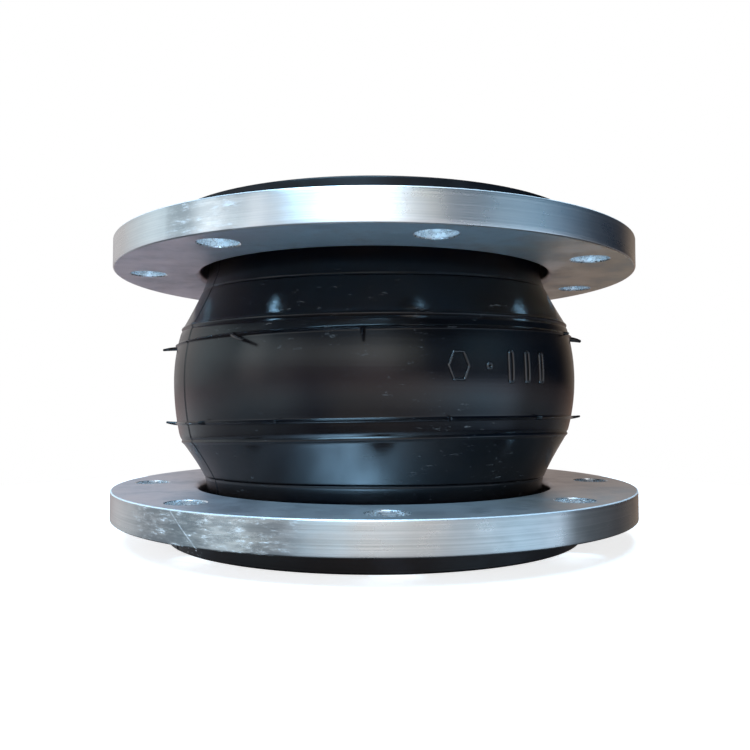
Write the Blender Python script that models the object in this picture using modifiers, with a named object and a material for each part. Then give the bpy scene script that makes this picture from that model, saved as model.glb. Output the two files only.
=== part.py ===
"""DN200 single-sphere rubber expansion joint with two floating steel flanges.

The joint stands on its lower sealing face. The origin is the centre of that face, +Z runs along
the pipe, and -Y is the side with the lower flange's first bolt hole. Lengths are in metres and
angles in degrees. The wall is built in layers, as the real one is wrapped on its core: an inner
liner, four cord plies and an outer cover, held at each end by a steel wire ring.
"""

import math

import bmesh
import bpy
import numpy as np
from mathutils import Matrix

# ---- overall sizes -------------------------------------------------------------------------
JOINT_LENGTH = 0.200
MID_HEIGHT = JOINT_LENGTH / 2
NOMINAL_BORE_RADIUS = 0.100
WALL = 0.010
NECK_RADIUS = NOMINAL_BORE_RADIUS + WALL
CLEARANCE = 0.0003

# ---- the sphere (outer surface of the cover) ------------------------------------------------
EQUATOR_RADIUS = 0.131
BELT_RADIUS = 0.126  # where the belt meets the shoulders
BELT_HALF_HEIGHT = 0.0345
NECK_START = 0.066  # height above mid where the shoulder has run out into the neck
SHOULDER_POWER = 1.22  # 1 is a straight cone, more is a softer run into the neck
BELT_STEPS = 2
SHOULDER_STEPS = 3
BODY_SEGMENTS = 24

# ---- sealing lips -----------------------------------------------------------------------------
LIP_HEIGHT = 0.015  # from the sealing face to the flange
LIP_RADIUS = 0.134
LIP_FACE_THICKNESS = 0.0026
LIP_RIM_WIDTH = 0.005
LIP_EDGE = 0.0012

# ---- flanges --------------------------------------------------------------------------------
FLANGE_RADIUS = 0.168
FLANGE_THICKNESS = 0.0175
FLANGE_BORE_RADIUS = 0.115
FLANGE_BORE_ROUND = 0.0035  # rounded edge towards the sphere
FLANGE_BORE_CHAMFER = 0.003  # chamfer towards the lip
FLANGE_RIM_CHAMFER = 0.0008
FLANGE_SEGMENTS = 48
BOLT_CIRCLE_RADIUS = 0.1475
BOLT_HOLE_RADIUS = 0.011
BOLT_HOLE_SEGMENTS = 16
BOLT_COUNT = 8
LOWER_FIRST_HOLE = 2.5  # from -Y towards +X
UPPER_FIRST_HOLE = 12.0

# ---- layers of the wall, as depths outwards from the bore surface ----------------------------
LINER_DEPTH = (0.0, 0.0026)
PLY_THICKNESS = 0.0008
PLY_PITCH = PLY_THICKNESS + CLEARANCE
FIRST_PLY = LINER_DEPTH[1] + CLEARANCE
PLY_DEPTHS = [(FIRST_PLY + i * PLY_PITCH, FIRST_PLY + i * PLY_PITCH + PLY_THICKNESS) for i in range(4)]
COVER_DEPTH = (PLY_DEPTHS[3][1] + CLEARANCE, WALL)

# ---- how the layers turn into the lip --------------------------------------------------------
PLY_1_BEND = 0.0043  # radius of ply 1's inner side
INNER_BEND = FIRST_PLY + PLY_1_BEND  # the same bend of plies 1 and 2, counted at the bore surface
INNER_BEND_HEIGHT = LIP_FACE_THICKNESS + CLEARANCE + PLY_1_BEND
OUTER_BEND = 0.013  # bend of ply 3 and of the cover's inner side
OUTER_BEND_HEIGHT = 0.0199
BACK_FILLET = 0.003  # the cover's outer corner under the flange
PLY_4_END_HEIGHT = 0.026
BEND_STEPS = 2
TURN_UP_HEIGHT = 0.009
LIP_RIM_INSIDE = LIP_RADIUS - LIP_RIM_WIDTH
LAYER_END_RADIUS = LIP_RIM_INSIDE - CLEARANCE

# ---- bead ring and what surrounds it ------------------------------------------------------------
BEAD_RADIUS = 0.1215
BEAD_HEIGHT = 0.0084
BEAD_SECTION = 0.0027  # from the centre of the hexagon to its corners
WRAP_GAP = 0.00036  # at the hexagon's corners, where the gap is widest
WRAP_THICKNESS = 0.0007
WRAP_INSIDE = BEAD_SECTION + WRAP_GAP
WRAP_OUTSIDE = WRAP_INSIDE + WRAP_THICKNESS
HEXAGON_TURN = 60.0
FILLER_TOP_HEIGHT = 0.0145

# ---- joints: the wall bends about these heights, and the flanges turn on the Z axis --------------
LOWER_PIVOT_HEIGHT = 0.050
UPPER_PIVOT_HEIGHT = JOINT_LENGTH - LOWER_PIVOT_HEIGHT

MERGE_DISTANCE = 0.00002


# ---- scene helpers --------------------------------------------------------------------------------
def clear_scene():
    for old in list(bpy.data.objects):
        bpy.data.objects.remove(old, do_unlink=True)


def collection(name):
    made = bpy.data.collections.new(name)
    bpy.context.scene.collection.children.link(made)
    return made


def material(name, color, roughness, metallic=0.0):
    made = bpy.data.materials.new(name)
    made.use_nodes = True
    shader = made.node_tree.nodes["Principled BSDF"]
    shader.inputs["Base Color"].default_value = (*color, 1.0)
    shader.inputs["Roughness"].default_value = roughness
    shader.inputs["Metallic"].default_value = metallic
    return made


def add_screw(obj, segments):
    """Turns the profile in obj a full circle about Z."""
    screw = obj.modifiers.new("turn", "SCREW")
    screw.axis = "Z"
    screw.steps = screw.render_steps = segments
    screw.use_merge_vertices = True
    screw.merge_threshold = MERGE_DISTANCE
    screw.use_smooth_shade = True


def turned(name, section, segments, look, parts):
    """A ring whose closed cross-section is a list of (radius, height) points.

    The section is put in the order that runs down its outer side, so that the turned faces
    point outwards.
    """
    points = np.array(section)
    following = np.roll(points, -1, axis=0)
    area = 0.5 * np.sum(points[:, 0] * following[:, 1] - following[:, 0] * points[:, 1])
    if area > 0:
        points = points[::-1]
    mesh = bpy.data.meshes.new(name)
    count = len(points)
    mesh.from_pydata(
        [(radius, 0.0, height) for radius, height in points],
        [(i, (i + 1) % count) for i in range(count)],
        [],
    )
    obj = bpy.data.objects.new(name, mesh)
    parts.objects.link(obj)
    add_screw(obj, segments)
    mesh.materials.append(look)
    return obj


# ---- outlines ---------------------------------------------------------------------------------------
def mirrored(section):
    """The same section at the upper end."""
    return [(radius, JOINT_LENGTH - height) for radius, height in section]


def arc(centre, radius, start, end, steps):
    """Points on an arc of a section, with angles from +R towards +Z, both ends included."""
    angles = np.radians(np.linspace(start, end, steps + 1))
    return [(centre[0] + radius * math.cos(a), centre[1] + radius * math.sin(a)) for a in angles]


def sphere_half():
    """Outer surface from the equator down to the end of the shoulder, as (radius, height).

    The belt is a circular arc and the shoulder falls from it to the neck by a power law.
    """
    sag = EQUATOR_RADIUS - BELT_RADIUS
    arc_radius = (BELT_HALF_HEIGHT**2 + sag**2) / (2 * sag)
    drops = np.linspace(0.0, BELT_HALF_HEIGHT, BELT_STEPS + 1)
    belt = [(EQUATOR_RADIUS - arc_radius + math.sqrt(arc_radius**2 - d**2), d) for d in drops]
    shares = np.linspace(0.0, 1.0, SHOULDER_STEPS + 1)[1:]
    rise = BELT_RADIUS - NECK_RADIUS
    fall = NECK_START - BELT_HALF_HEIGHT
    shoulder = [
        (NECK_RADIUS + rise * (1 - t) ** SHOULDER_POWER, BELT_HALF_HEIGHT + t * fall) for t in shares
    ]
    return [(radius, MID_HEIGHT - drop) for radius, drop in belt + shoulder]


def sphere_path(depth):
    """The sphere's surface at a depth outwards from the bore, from the upper neck to the lower.

    Each stretch moves inwards by the same distance and neighbouring stretches meet again, so two
    such paths are a constant distance apart.
    """
    lower = sphere_half()
    upper = [(radius, JOINT_LENGTH - height) for radius, height in reversed(lower[1:])]
    points = np.array([(NECK_RADIUS, JOINT_LENGTH), *upper, *lower, (NECK_RADIUS, 0.0)])
    along = np.diff(points, axis=0)
    along /= np.linalg.norm(along, axis=1)[:, None]
    inward = np.stack([along[:, 1], -along[:, 0]], axis=1)
    mean = inward[:-1] + inward[1:]
    mean /= np.linalg.norm(mean, axis=1)[:, None]
    reach = (WALL - depth) / np.sum(mean * inward[:-1], axis=1)
    moved = points[1:-1] + mean * reach[:, None]
    return [tuple(point) for point in moved]


def wall_section(inside, outside, inside_end, outside_end):
    """A wall layer between two depths, whose ends are given for the lower end of each side.

    inside_end and outside_end run from the neck to the tip of the layer.
    """
    upper_inside = [(r, JOINT_LENGTH - z) for r, z in reversed(inside_end)]
    upper_outside = [(r, JOINT_LENGTH - z) for r, z in reversed(outside_end)]
    inner_side = upper_inside + sphere_path(inside) + inside_end
    outer_side = upper_outside + sphere_path(outside) + outside_end
    return inner_side + outer_side[::-1]


def bend_out(depth, bend, height):
    """The turn of a layer from running down the neck to running outwards in the lip."""
    centre = (NOMINAL_BORE_RADIUS + bend, height)
    return arc(centre, bend - depth, 180.0, 270.0, BEND_STEPS)


def straight_end(depth, height):
    return [(NOMINAL_BORE_RADIUS + depth, height)]


# ---- wall layers -------------------------------------------------------------------------------------
def inner_liner(parts, look):
    end_height = LIP_FACE_THICKNESS + CLEARANCE
    ends = [straight_end(depth, end_height) for depth in LINER_DEPTH]
    section = wall_section(*LINER_DEPTH, *ends)
    return turned("inner_liner", section, BODY_SEGMENTS, look, parts)


def ply_1_end(depth):
    """Ply 1 turns out under the wire ring and stops at the lip's rim."""
    bent = bend_out(depth, INNER_BEND, INNER_BEND_HEIGHT)
    return [*bent, (LAYER_END_RADIUS, bent[-1][1])]


def ply_2_end(depth):
    """Ply 2 turns out under the wire ring and up again round it."""
    bent = bend_out(depth, INNER_BEND, INNER_BEND_HEIGHT)
    turn_radius = LAYER_END_RADIUS - (depth - PLY_DEPTHS[1][0])
    return [*bent, (turn_radius, bent[-1][1]), (turn_radius, TURN_UP_HEIGHT)]


def ply_3_end(depth):
    """Ply 3 passes between the wire ring and the flange."""
    bent = bend_out(depth, OUTER_BEND, OUTER_BEND_HEIGHT)
    return [*bent, (LAYER_END_RADIUS, bent[-1][1])]


def ply_4_end(depth):
    """Ply 4 stops on the neck, short of the bend."""
    return straight_end(depth, PLY_4_END_HEIGHT)


def cord_plies(parts, look):
    ends = (ply_1_end, ply_2_end, ply_3_end, ply_4_end)
    for number, (end, (inside, outside)) in enumerate(zip(ends, PLY_DEPTHS), start=1):
        section = wall_section(inside, outside, end(inside), end(outside))
        turned(f"cord_ply_{number}", section, BODY_SEGMENTS, look, parts)


def outer_cover(parts, look):
    """The cover, which runs out between ply 3 and the flange as the back of the lip."""
    under = PLY_DEPTHS[2][1] + CLEARANCE
    bent = bend_out(under, OUTER_BEND, OUTER_BEND_HEIGHT)
    step_height = PLY_4_END_HEIGHT - CLEARANCE
    inside_end = [
        (NOMINAL_BORE_RADIUS + COVER_DEPTH[0], step_height),
        (NOMINAL_BORE_RADIUS + under, step_height),
        *bent,
        (LAYER_END_RADIUS, bent[-1][1]),
    ]
    back = LIP_HEIGHT - CLEARANCE
    fillet = arc((NECK_RADIUS + BACK_FILLET, back + BACK_FILLET), BACK_FILLET, 180.0, 270.0, BEND_STEPS)
    outside_end = [*fillet, (LAYER_END_RADIUS, back)]
    section = wall_section(COVER_DEPTH[0], COVER_DEPTH[1], inside_end, outside_end)
    return turned("outer_cover", section, BODY_SEGMENTS, look, parts)


# ---- lips and beads -------------------------------------------------------------------------------
def lip_section():
    """The sealing face and the rim of the lip, in one L-shaped ring."""
    back = LIP_HEIGHT - CLEARANCE
    return [
        (NOMINAL_BORE_RADIUS, LIP_FACE_THICKNESS),
        (LIP_RIM_INSIDE, LIP_FACE_THICKNESS),
        (LIP_RIM_INSIDE, back),
        (LIP_RADIUS - LIP_EDGE, back),
        (LIP_RADIUS, back - LIP_EDGE),
        (LIP_RADIUS, LIP_EDGE),
        (LIP_RADIUS - LIP_EDGE, 0.0),
        (NOMINAL_BORE_RADIUS, 0.0),
    ]


def bead_ring_section():
    """The wound wire ring, as the hexagon that its wires pack into."""
    return arc((BEAD_RADIUS, BEAD_HEIGHT), BEAD_SECTION, 0.0, 360.0 - HEXAGON_TURN, 5)


def bead_wrap_section():
    """A strip round the hexagon, open on the side away from the pipe."""
    centre = (BEAD_RADIUS, BEAD_HEIGHT)
    start, end = HEXAGON_TURN, 360.0 - HEXAGON_TURN
    inner = arc(centre, WRAP_INSIDE, start, end, 4)
    outer = arc(centre, WRAP_OUTSIDE, start, end, 4)
    return inner + outer[::-1]


def bead_filler_section():
    """The wedge between ply 2, ply 3 and the wrapped ring."""
    ply_2_outside = PLY_DEPTHS[1][1] + CLEARANCE
    ply_3_inside = PLY_DEPTHS[2][0] - CLEARANCE
    low = bend_out(ply_2_outside, INNER_BEND, INNER_BEND_HEIGHT)
    bend_centre = (NOMINAL_BORE_RADIUS + OUTER_BEND, OUTER_BEND_HEIGHT)
    bend_radius = OUTER_BEND - ply_3_inside
    tip_angle = 180.0 + math.degrees(math.asin((OUTER_BEND_HEIGHT - FILLER_TOP_HEIGHT) / bend_radius))
    high = arc(bend_centre, bend_radius, 270.0, tip_angle, BEND_STEPS)
    floor, roof = low[-1][1], high[0][1]
    corner = BEAD_RADIUS - WRAP_OUTSIDE - WRAP_GAP
    slope = math.tan(math.radians(HEXAGON_TURN))
    hollow = [
        (corner + (BEAD_HEIGHT - floor) / slope, floor),
        (corner, BEAD_HEIGHT),
        (corner + (roof - BEAD_HEIGHT) / slope, roof),
    ]
    top = (NOMINAL_BORE_RADIUS + ply_2_outside, FILLER_TOP_HEIGHT)
    return [top, *low, *hollow, *high]


def end_rings(parts, looks):
    """The lip, wire ring, wrap and filler of both ends."""
    rings = {
        "sealing_lip": (lip_section(), looks["lip"]),
        "bead_ring": (bead_ring_section(), looks["wire"]),
        "bead_wrap": (bead_wrap_section(), looks["cord"]),
        "bead_filler": (bead_filler_section(), looks["filler"]),
    }
    for name, (section, look) in rings.items():
        turned(f"lower_{name}", section, BODY_SEGMENTS, look, parts)
        turned(f"upper_{name}", mirrored(section), BODY_SEGMENTS, look, parts)


# ---- flanges -----------------------------------------------------------------------------------------
def flange_section():
    """Lower flange: the rounded bore edge is on top, towards the sphere."""
    low, high = LIP_HEIGHT, LIP_HEIGHT + FLANGE_THICKNESS
    edge = FLANGE_RIM_CHAMFER
    round_centre = (FLANGE_BORE_RADIUS + FLANGE_BORE_ROUND, high - FLANGE_BORE_ROUND)
    bore_edge = arc(round_centre, FLANGE_BORE_ROUND, 180.0, 90.0, 3)
    return [
        (FLANGE_BORE_RADIUS + FLANGE_BORE_CHAMFER, low),
        (FLANGE_BORE_RADIUS, low + FLANGE_BORE_CHAMFER),
        *bore_edge,
        (FLANGE_RADIUS - edge, high),
        (FLANGE_RADIUS, high - edge),
        (FLANGE_RADIUS, low + edge),
        (FLANGE_RADIUS - edge, low),
    ]


def bolt_drill(name, first_hole, height, cutters):
    """One cutter mesh with a cylinder at each bolt hole."""
    mesh = bpy.data.meshes.new(name)
    shape = bmesh.new()
    for number in range(BOLT_COUNT):
        angle = math.radians(first_hole + number * 360.0 / BOLT_COUNT)
        x, y = BOLT_CIRCLE_RADIUS * math.sin(angle), -BOLT_CIRCLE_RADIUS * math.cos(angle)
        bmesh.ops.create_cone(
            shape,
            cap_ends=True,
            segments=BOLT_HOLE_SEGMENTS,
            radius1=BOLT_HOLE_RADIUS,
            radius2=BOLT_HOLE_RADIUS,
            depth=2 * FLANGE_THICKNESS,
            matrix=Matrix.Translation((x, y, height)),
        )
    shape.to_mesh(mesh)
    shape.free()
    drill = bpy.data.objects.new(name, mesh)
    drill.hide_render = True
    drill.display_type = "WIRE"
    cutters.objects.link(drill)
    return drill


def flange(name, section, first_hole, height, look, parts, cutters):
    obj = turned(name, section, FLANGE_SEGMENTS, look, parts)
    cut = obj.modifiers.new("bolt holes", "BOOLEAN")
    cut.operation = "DIFFERENCE"
    cut.object = bolt_drill(name + "_drill", first_hole, height, cutters)
    return obj


def flanges(parts, cutters, look):
    mid = LIP_HEIGHT + FLANGE_THICKNESS / 2
    section = flange_section()
    flange("lower_flange", section, LOWER_FIRST_HOLE, mid, look, parts, cutters)
    flange("upper_flange", mirrored(section), UPPER_FIRST_HOLE, JOINT_LENGTH - mid, look, parts, cutters)


# ---- joints ---------------------------------------------------------------------------------------------
def pivot(name, height, riders, parts):
    """An empty on the hinge's axis, which carries the parts that turn about it."""
    empty = bpy.data.objects.new(name, None)
    empty.location = (0.0, 0.0, height)
    parts.objects.link(empty)
    for rider in riders:
        obj = parts.objects[rider]
        obj.parent = empty
        obj.matrix_parent_inverse = Matrix.Translation((0.0, 0.0, -height))


def pivots(parts):
    """The lower hinge carries the inner layers and the upper hinge carries the upper end."""
    inner_layers = ("inner_liner", "cord_ply_1", "cord_ply_2")
    upper_rings = ("upper_sealing_lip", "upper_bead_ring", "upper_bead_wrap", "upper_bead_filler")
    pivot("lower_neck_pivot", LOWER_PIVOT_HEIGHT, inner_layers, parts)
    pivot("upper_neck_pivot", UPPER_PIVOT_HEIGHT, upper_rings, parts)


def main():
    clear_scene()
    parts = collection("rubber_expansion_joint")
    cutters = collection("cutters")
    looks = {
        "rubber": material("moulded_rubber", (0.012, 0.012, 0.014), 0.35),
        "lip": material("lip_rubber", (0.014, 0.013, 0.014), 0.5),
        "liner": material("liner_rubber", (0.02, 0.02, 0.02), 0.45),
        "filler": material("filler_rubber", (0.03, 0.027, 0.025), 0.6),
        "cord": material("nylon_cord", (0.42, 0.33, 0.2), 0.8),
        "wire": material("bead_wire", (0.5, 0.42, 0.3), 0.35, 1.0),
        "zinc": material("zinc_plated_steel", (0.62, 0.64, 0.66), 0.3, 1.0),
    }
    inner_liner(parts, looks["liner"])
    cord_plies(parts, looks["cord"])
    outer_cover(parts, looks["rubber"])
    end_rings(parts, looks)
    flanges(parts, cutters, looks["zinc"])
    pivots(parts)


main()
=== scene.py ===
"""Visual model of a single-sphere rubber expansion joint with two floating steel flanges.

The joint stands on its lower sealing lip, +Z runs along the pipe and -Y is the front. Azimuths
count from the front towards +X. Lengths are in metres. Every new piece is a surface worked out
as whole arrays, and stands for the CAD piece that it covers.
"""

import logging
import math
from abc import ABC, abstractmethod
from dataclasses import dataclass, field
from enum import Enum

import bpy
import numpy as np
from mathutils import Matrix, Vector


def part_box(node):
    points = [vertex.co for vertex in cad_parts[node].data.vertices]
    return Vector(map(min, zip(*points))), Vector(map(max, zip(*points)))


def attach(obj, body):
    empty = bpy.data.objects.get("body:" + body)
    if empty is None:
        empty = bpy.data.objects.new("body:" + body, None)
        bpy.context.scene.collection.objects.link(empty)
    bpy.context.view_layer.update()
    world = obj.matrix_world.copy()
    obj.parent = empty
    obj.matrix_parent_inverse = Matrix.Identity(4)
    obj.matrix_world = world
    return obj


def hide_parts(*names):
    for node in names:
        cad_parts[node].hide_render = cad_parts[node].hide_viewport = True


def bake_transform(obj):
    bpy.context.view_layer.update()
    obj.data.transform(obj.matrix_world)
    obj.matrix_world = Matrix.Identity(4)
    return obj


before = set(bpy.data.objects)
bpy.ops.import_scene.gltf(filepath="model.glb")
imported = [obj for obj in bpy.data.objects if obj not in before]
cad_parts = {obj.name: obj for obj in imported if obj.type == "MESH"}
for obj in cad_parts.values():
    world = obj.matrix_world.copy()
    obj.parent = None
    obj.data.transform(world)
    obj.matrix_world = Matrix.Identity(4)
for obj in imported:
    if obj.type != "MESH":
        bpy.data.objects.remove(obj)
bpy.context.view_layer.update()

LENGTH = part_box("upper_sealing_lip")[1].z
MIDDLE = LENGTH / 2
MM = 0.001
TURN = 2 * math.pi

log = logging.getLogger("expansion_joint")

# Painted reflection on each rim: light and dark bands that stand in for the room's reflection, as
# stops of azimuth in degrees and share of brightness
LOWER_RIM_PAINTED_REFLECTION = (
    (-180.0, 0.80), (-90.0, 0.80), (-49.0, 0.82), (-45.0, 0.78), (-28.0, 0.74), (-25.0, 1.0),
    (-21.0, 1.0), (-18.0, 0.74), (-13.0, 0.72), (-8.0, 0.88), (34.0, 0.95), (38.0, 0.62),
    (60.0, 0.5), (90.0, 0.7), (180.0, 0.80),
)
# The same for the upper rim
UPPER_RIM_PAINTED_REFLECTION = (
    (-180.0, 0.95), (-45.0, 0.93), (-41.0, 1.0), (-38.0, 1.0), (-36.5, 0.80), (-30.5, 0.80),
    (-29.0, 1.0), (-25.5, 1.0), (-24.0, 0.84), (-20.5, 0.86), (-19.0, 1.0), (-16.5, 1.0),
    (-15.0, 0.86), (-9.0, 0.88), (-6.0, 1.0), (62.0, 0.9), (180.0, 0.95),
)


# ---- named choices -------------------------------------------------------------------------------
class End(Enum):
    """The two ends of the joint, each with the names of the bodies that carry its rings."""

    LOWER = "lower"
    UPPER = "upper"

    @property
    def lip_body(self) -> str:
        """The body of the lip, the wire ring and what is wrapped round it."""
        return f"{self.value}_end"

    @property
    def flange_body(self) -> str:
        """The body of the turning flange."""
        return f"{self.value}_ring"

    def place(self, height: np.ndarray) -> np.ndarray:
        """Turns a distance from this end's sealing face into a height above the floor."""
        return height if self is End.LOWER else LENGTH - height


class Band(Enum):
    """The three stretches that the wall is built in."""

    LOWER_SHOULDER = "lower_shoulder"
    BELT = "belt"
    UPPER_SHOULDER = "upper_shoulder"


# ---- surfaces ------------------------------------------------------------------------------------
def patch_quads(rows: int, columns: int, close_rows: bool, close_columns: bool) -> np.ndarray:
    """Quads of a grid: each joins (row, column) to the next row and the next column.

    Args:
        rows: Number of rows of points.
        columns: Number of points in a row.
        close_rows: Whether the last row joins the first.
        close_columns: Whether the last column joins the first.

    Returns:
        Corner indices, one row of four for each quad. A quad faces the way that the cross
        product of the row step and the column step points.
    """
    row = np.arange(rows if close_rows else rows - 1)[:, None]
    column = np.arange(columns if close_columns else columns - 1)[None, :]
    below, beside = (row + 1) % rows, (column + 1) % columns
    corners = [row * columns + column, below * columns + column]
    corners += [below * columns + beside, row * columns + beside]
    return np.stack(corners, axis=-1).reshape(-1, 4)


def put_mesh(
    name: str, points: np.ndarray, faces: list[np.ndarray], sharp_degrees: float
) -> bpy.types.Object:
    """Puts arrays of points and faces into a new mesh object at the origin.

    Args:
        name: Name of the object and its mesh.
        points: Coordinates, one row for each point.
        faces: Arrays of corner indices, one array for each number of corners.
        sharp_degrees: Edges that turn more than this are shaded crisp.

    Returns:
        The linked object.
    """
    mesh = bpy.data.meshes.new(name)
    corners = np.concatenate([group.ravel() for group in faces]).astype(np.int32)
    totals = np.concatenate([np.full(len(group), group.shape[1], np.int32) for group in faces])
    starts = np.concatenate([[0], np.cumsum(totals)[:-1]]).astype(np.int32)
    mesh.vertices.add(len(points))
    mesh.vertices.foreach_set("co", points.astype(np.float32).ravel())
    mesh.loops.add(len(corners))
    mesh.loops.foreach_set("vertex_index", corners)
    mesh.polygons.add(len(totals))
    mesh.polygons.foreach_set("loop_start", starts)
    mesh.polygons.foreach_set("loop_total", totals)
    mesh.update(calc_edges=True)
    mesh.shade_smooth()
    mesh.set_sharp_from_angle(angle=math.radians(sharp_degrees))
    obj = bpy.data.objects.new(name, mesh)
    bpy.context.scene.collection.objects.link(obj)
    return obj


def around(radius: np.ndarray, height: np.ndarray, azimuth: np.ndarray) -> np.ndarray:
    """Points of a turned surface: x is radius by sine, y is minus radius by cosine.

    Args:
        radius: Distance from the pipe's axis.
        height: Height above the floor.
        azimuth: Angle from the front towards +X, in radians.

    Returns:
        Coordinates with a last axis of three.
    """
    radius, height, azimuth = np.broadcast_arrays(radius, height, azimuth)
    return np.stack([radius * np.sin(azimuth), -radius * np.cos(azimuth), height], axis=-1)


def turned_ring(
    name: str,
    radius: np.ndarray,
    height: np.ndarray,
    azimuth: np.ndarray,
    sharp_degrees: float = 33.0,
) -> bpy.types.Object:
    """A closed ring whose section is a closed loop that may change with the azimuth.

    Point (row, column) lies at radius[row, column] and height[row, column], turned to
    azimuth[column]. The loop is put in the order that runs down its outer side, so that the
    faces point outwards. The piece's own UV map runs once round the ring and once round the
    section.

    Args:
        name: Name of the piece.
        radius: Section radii, one column for each azimuth.
        height: Section heights, in the same layout.
        azimuth: The azimuths, in rising order, over one turn.
        sharp_degrees: Edges that turn more than this are shaded crisp.

    Returns:
        The new piece.
    """
    radius, height = np.broadcast_arrays(radius, height)
    next_radius, next_height = np.roll(radius, -1, axis=0), np.roll(height, -1, axis=0)
    if np.sum(radius * next_height - next_radius * height) > 0:
        radius, height = radius[::-1], height[::-1]
    rows, columns = radius.shape
    points = around(radius, height, azimuth[None, :]).reshape(-1, 3)
    obj = put_mesh(name, points, [patch_quads(rows, columns, True, True)], sharp_degrees)
    out, up = np.roll(radius, -1, axis=0) - radius, np.roll(height, -1, axis=0) - height
    steps = np.hypot(out, up)[:, 0]
    along = np.concatenate([[0.0], np.cumsum(steps)]) / steps.sum()
    u = np.append(azimuth - azimuth[0], TURN) / TURN
    row, column = np.arange(rows)[:, None], np.arange(columns)[None, :]
    u_corner = np.stack(
        np.broadcast_arrays(u[column], u[column], u[column + 1], u[column + 1], along[row])[:4], -1
    )
    v_corner = np.stack(
        np.broadcast_arrays(along[row], along[row + 1], along[row + 1], along[row], u[column])[:4],
        -1,
    )
    layer = obj.data.uv_layers.new(name="wrap")
    layer.data.foreach_set("uv", np.stack([u_corner, v_corner], -1).astype(np.float32).ravel())
    return obj


def rounded(corners: list[tuple[float, float]], cut: float, steps: int = 4) -> np.ndarray:
    """A closed section with its corners rounded by quadratic curves.

    Each corner is replaced by the curve that leaves one side and joins the next a distance cut
    from the corner, or less on short sides.

    Args:
        corners: The section's corners as (radius, height).
        cut: Distance from a corner at which its curve begins.
        steps: Number of straight steps in each curve.

    Returns:
        Points, one row each.
    """
    points = np.array(corners, float)
    before, after = np.roll(points, 1, axis=0) - points, np.roll(points, -1, axis=0) - points
    share_before = np.minimum(cut / np.linalg.norm(before, axis=1), 0.45)[:, None]
    share_after = np.minimum(cut / np.linalg.norm(after, axis=1), 0.45)[:, None]
    start, stop = points + before * share_before, points + after * share_after
    t = np.linspace(0.0, 1.0, steps + 1)[None, :, None]
    curve = (1 - t) ** 2 * start[:, None] + 2 * t * (1 - t) * points[:, None] + t**2 * stop[:, None]
    return curve.reshape(-1, 2)


def refined(path: np.ndarray, step: float) -> np.ndarray:
    """The same open path with extra points, so that no stretch is longer than step.

    Args:
        path: Points, one row each.
        step: The longest stretch wanted.

    Returns:
        The old points and the new ones, in order.
    """
    reach = np.concatenate([[0.0], np.cumsum(np.linalg.norm(np.diff(path, axis=0), axis=1))])
    wanted = np.union1d(reach, np.arange(0.0, reach[-1], step))
    return np.stack(
        [np.interp(wanted, reach, path[:, 0]), np.interp(wanted, reach, path[:, 1])], -1
    )


def arc(
    centre: tuple[float, float], radius: float, start: float, stop: float, steps: int
) -> np.ndarray:
    """Points of an arc in a section, with angles in degrees from outwards towards up."""
    angle = np.radians(np.linspace(start, stop, steps + 1))
    return np.stack([centre[0] + radius * np.cos(angle), centre[1] + radius * np.sin(angle)], -1)


def tubes(
    name: str, paths: np.ndarray, radii: np.ndarray, across: np.ndarray, sides: int, closed: bool
) -> bpy.types.Object:
    """Round tubes that follow paths, all in one piece.

    A ring of points is carried along each path. It lies in the plane of across and of the
    direction square to both across and the path.

    Args:
        name: Name of the piece.
        paths: Coordinates (tube, step, 3).
        radii: Radius at each (tube, step).
        across: A direction (tube, step, 3) square to the path.
        sides: Points round a tube.
        closed: Whether each path ends where it starts. Open tubes get a point at each end.

    Returns:
        The new piece.
    """
    count, steps, _ = paths.shape
    ahead = np.gradient(paths, axis=1)
    if closed:
        ahead = np.roll(paths, -1, axis=1) - np.roll(paths, 1, axis=1)
    ahead = ahead / np.linalg.norm(ahead, axis=2, keepdims=True)
    across = across - ahead * np.sum(across * ahead, axis=2, keepdims=True)
    across = across / np.linalg.norm(across, axis=2, keepdims=True)
    beside = np.cross(ahead, across)
    angle = np.linspace(0.0, TURN, sides, endpoint=False)
    ring = across[:, :, None] * np.cos(angle)[:, None] + beside[:, :, None] * np.sin(angle)[:, None]
    points = paths[:, :, None] + ring * radii[:, :, None, None]
    one = patch_quads(steps, sides, closed, True)[:, ::-1]
    quads = (one[None] + (np.arange(count) * steps * sides)[:, None, None]).reshape(-1, 4)
    if closed:
        return put_mesh(name, points.reshape(-1, 3), [quads], 50.0)
    poles = np.stack(
        [
            paths[:, 0] - ahead[:, 0] * radii[:, :1] * 0.2,
            paths[:, -1] + ahead[:, -1] * radii[:, -1:] * 0.6,
        ],
        1,
    )
    side = np.arange(sides)
    start = (np.arange(count) * steps * sides)[:, None]
    first = count * steps * sides + 2 * np.arange(count)[:, None]
    last_ring = start + (steps - 1) * sides
    head = np.stack(np.broadcast_arrays(start + (side + 1) % sides, start + side, first), -1)
    tail = np.stack(
        np.broadcast_arrays(last_ring + side, last_ring + (side + 1) % sides, first + 1), -1
    )
    fans = np.concatenate([head.reshape(-1, 3), tail.reshape(-1, 3)])
    points = np.concatenate([points.reshape(-1, 3), poles.reshape(-1, 3)])
    return put_mesh(name, points, [quads, fans], 50.0)


# ---- finishes ------------------------------------------------------------------------------------
Socket = bpy.types.NodeSocket
Colour = tuple[float, float, float]


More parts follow.
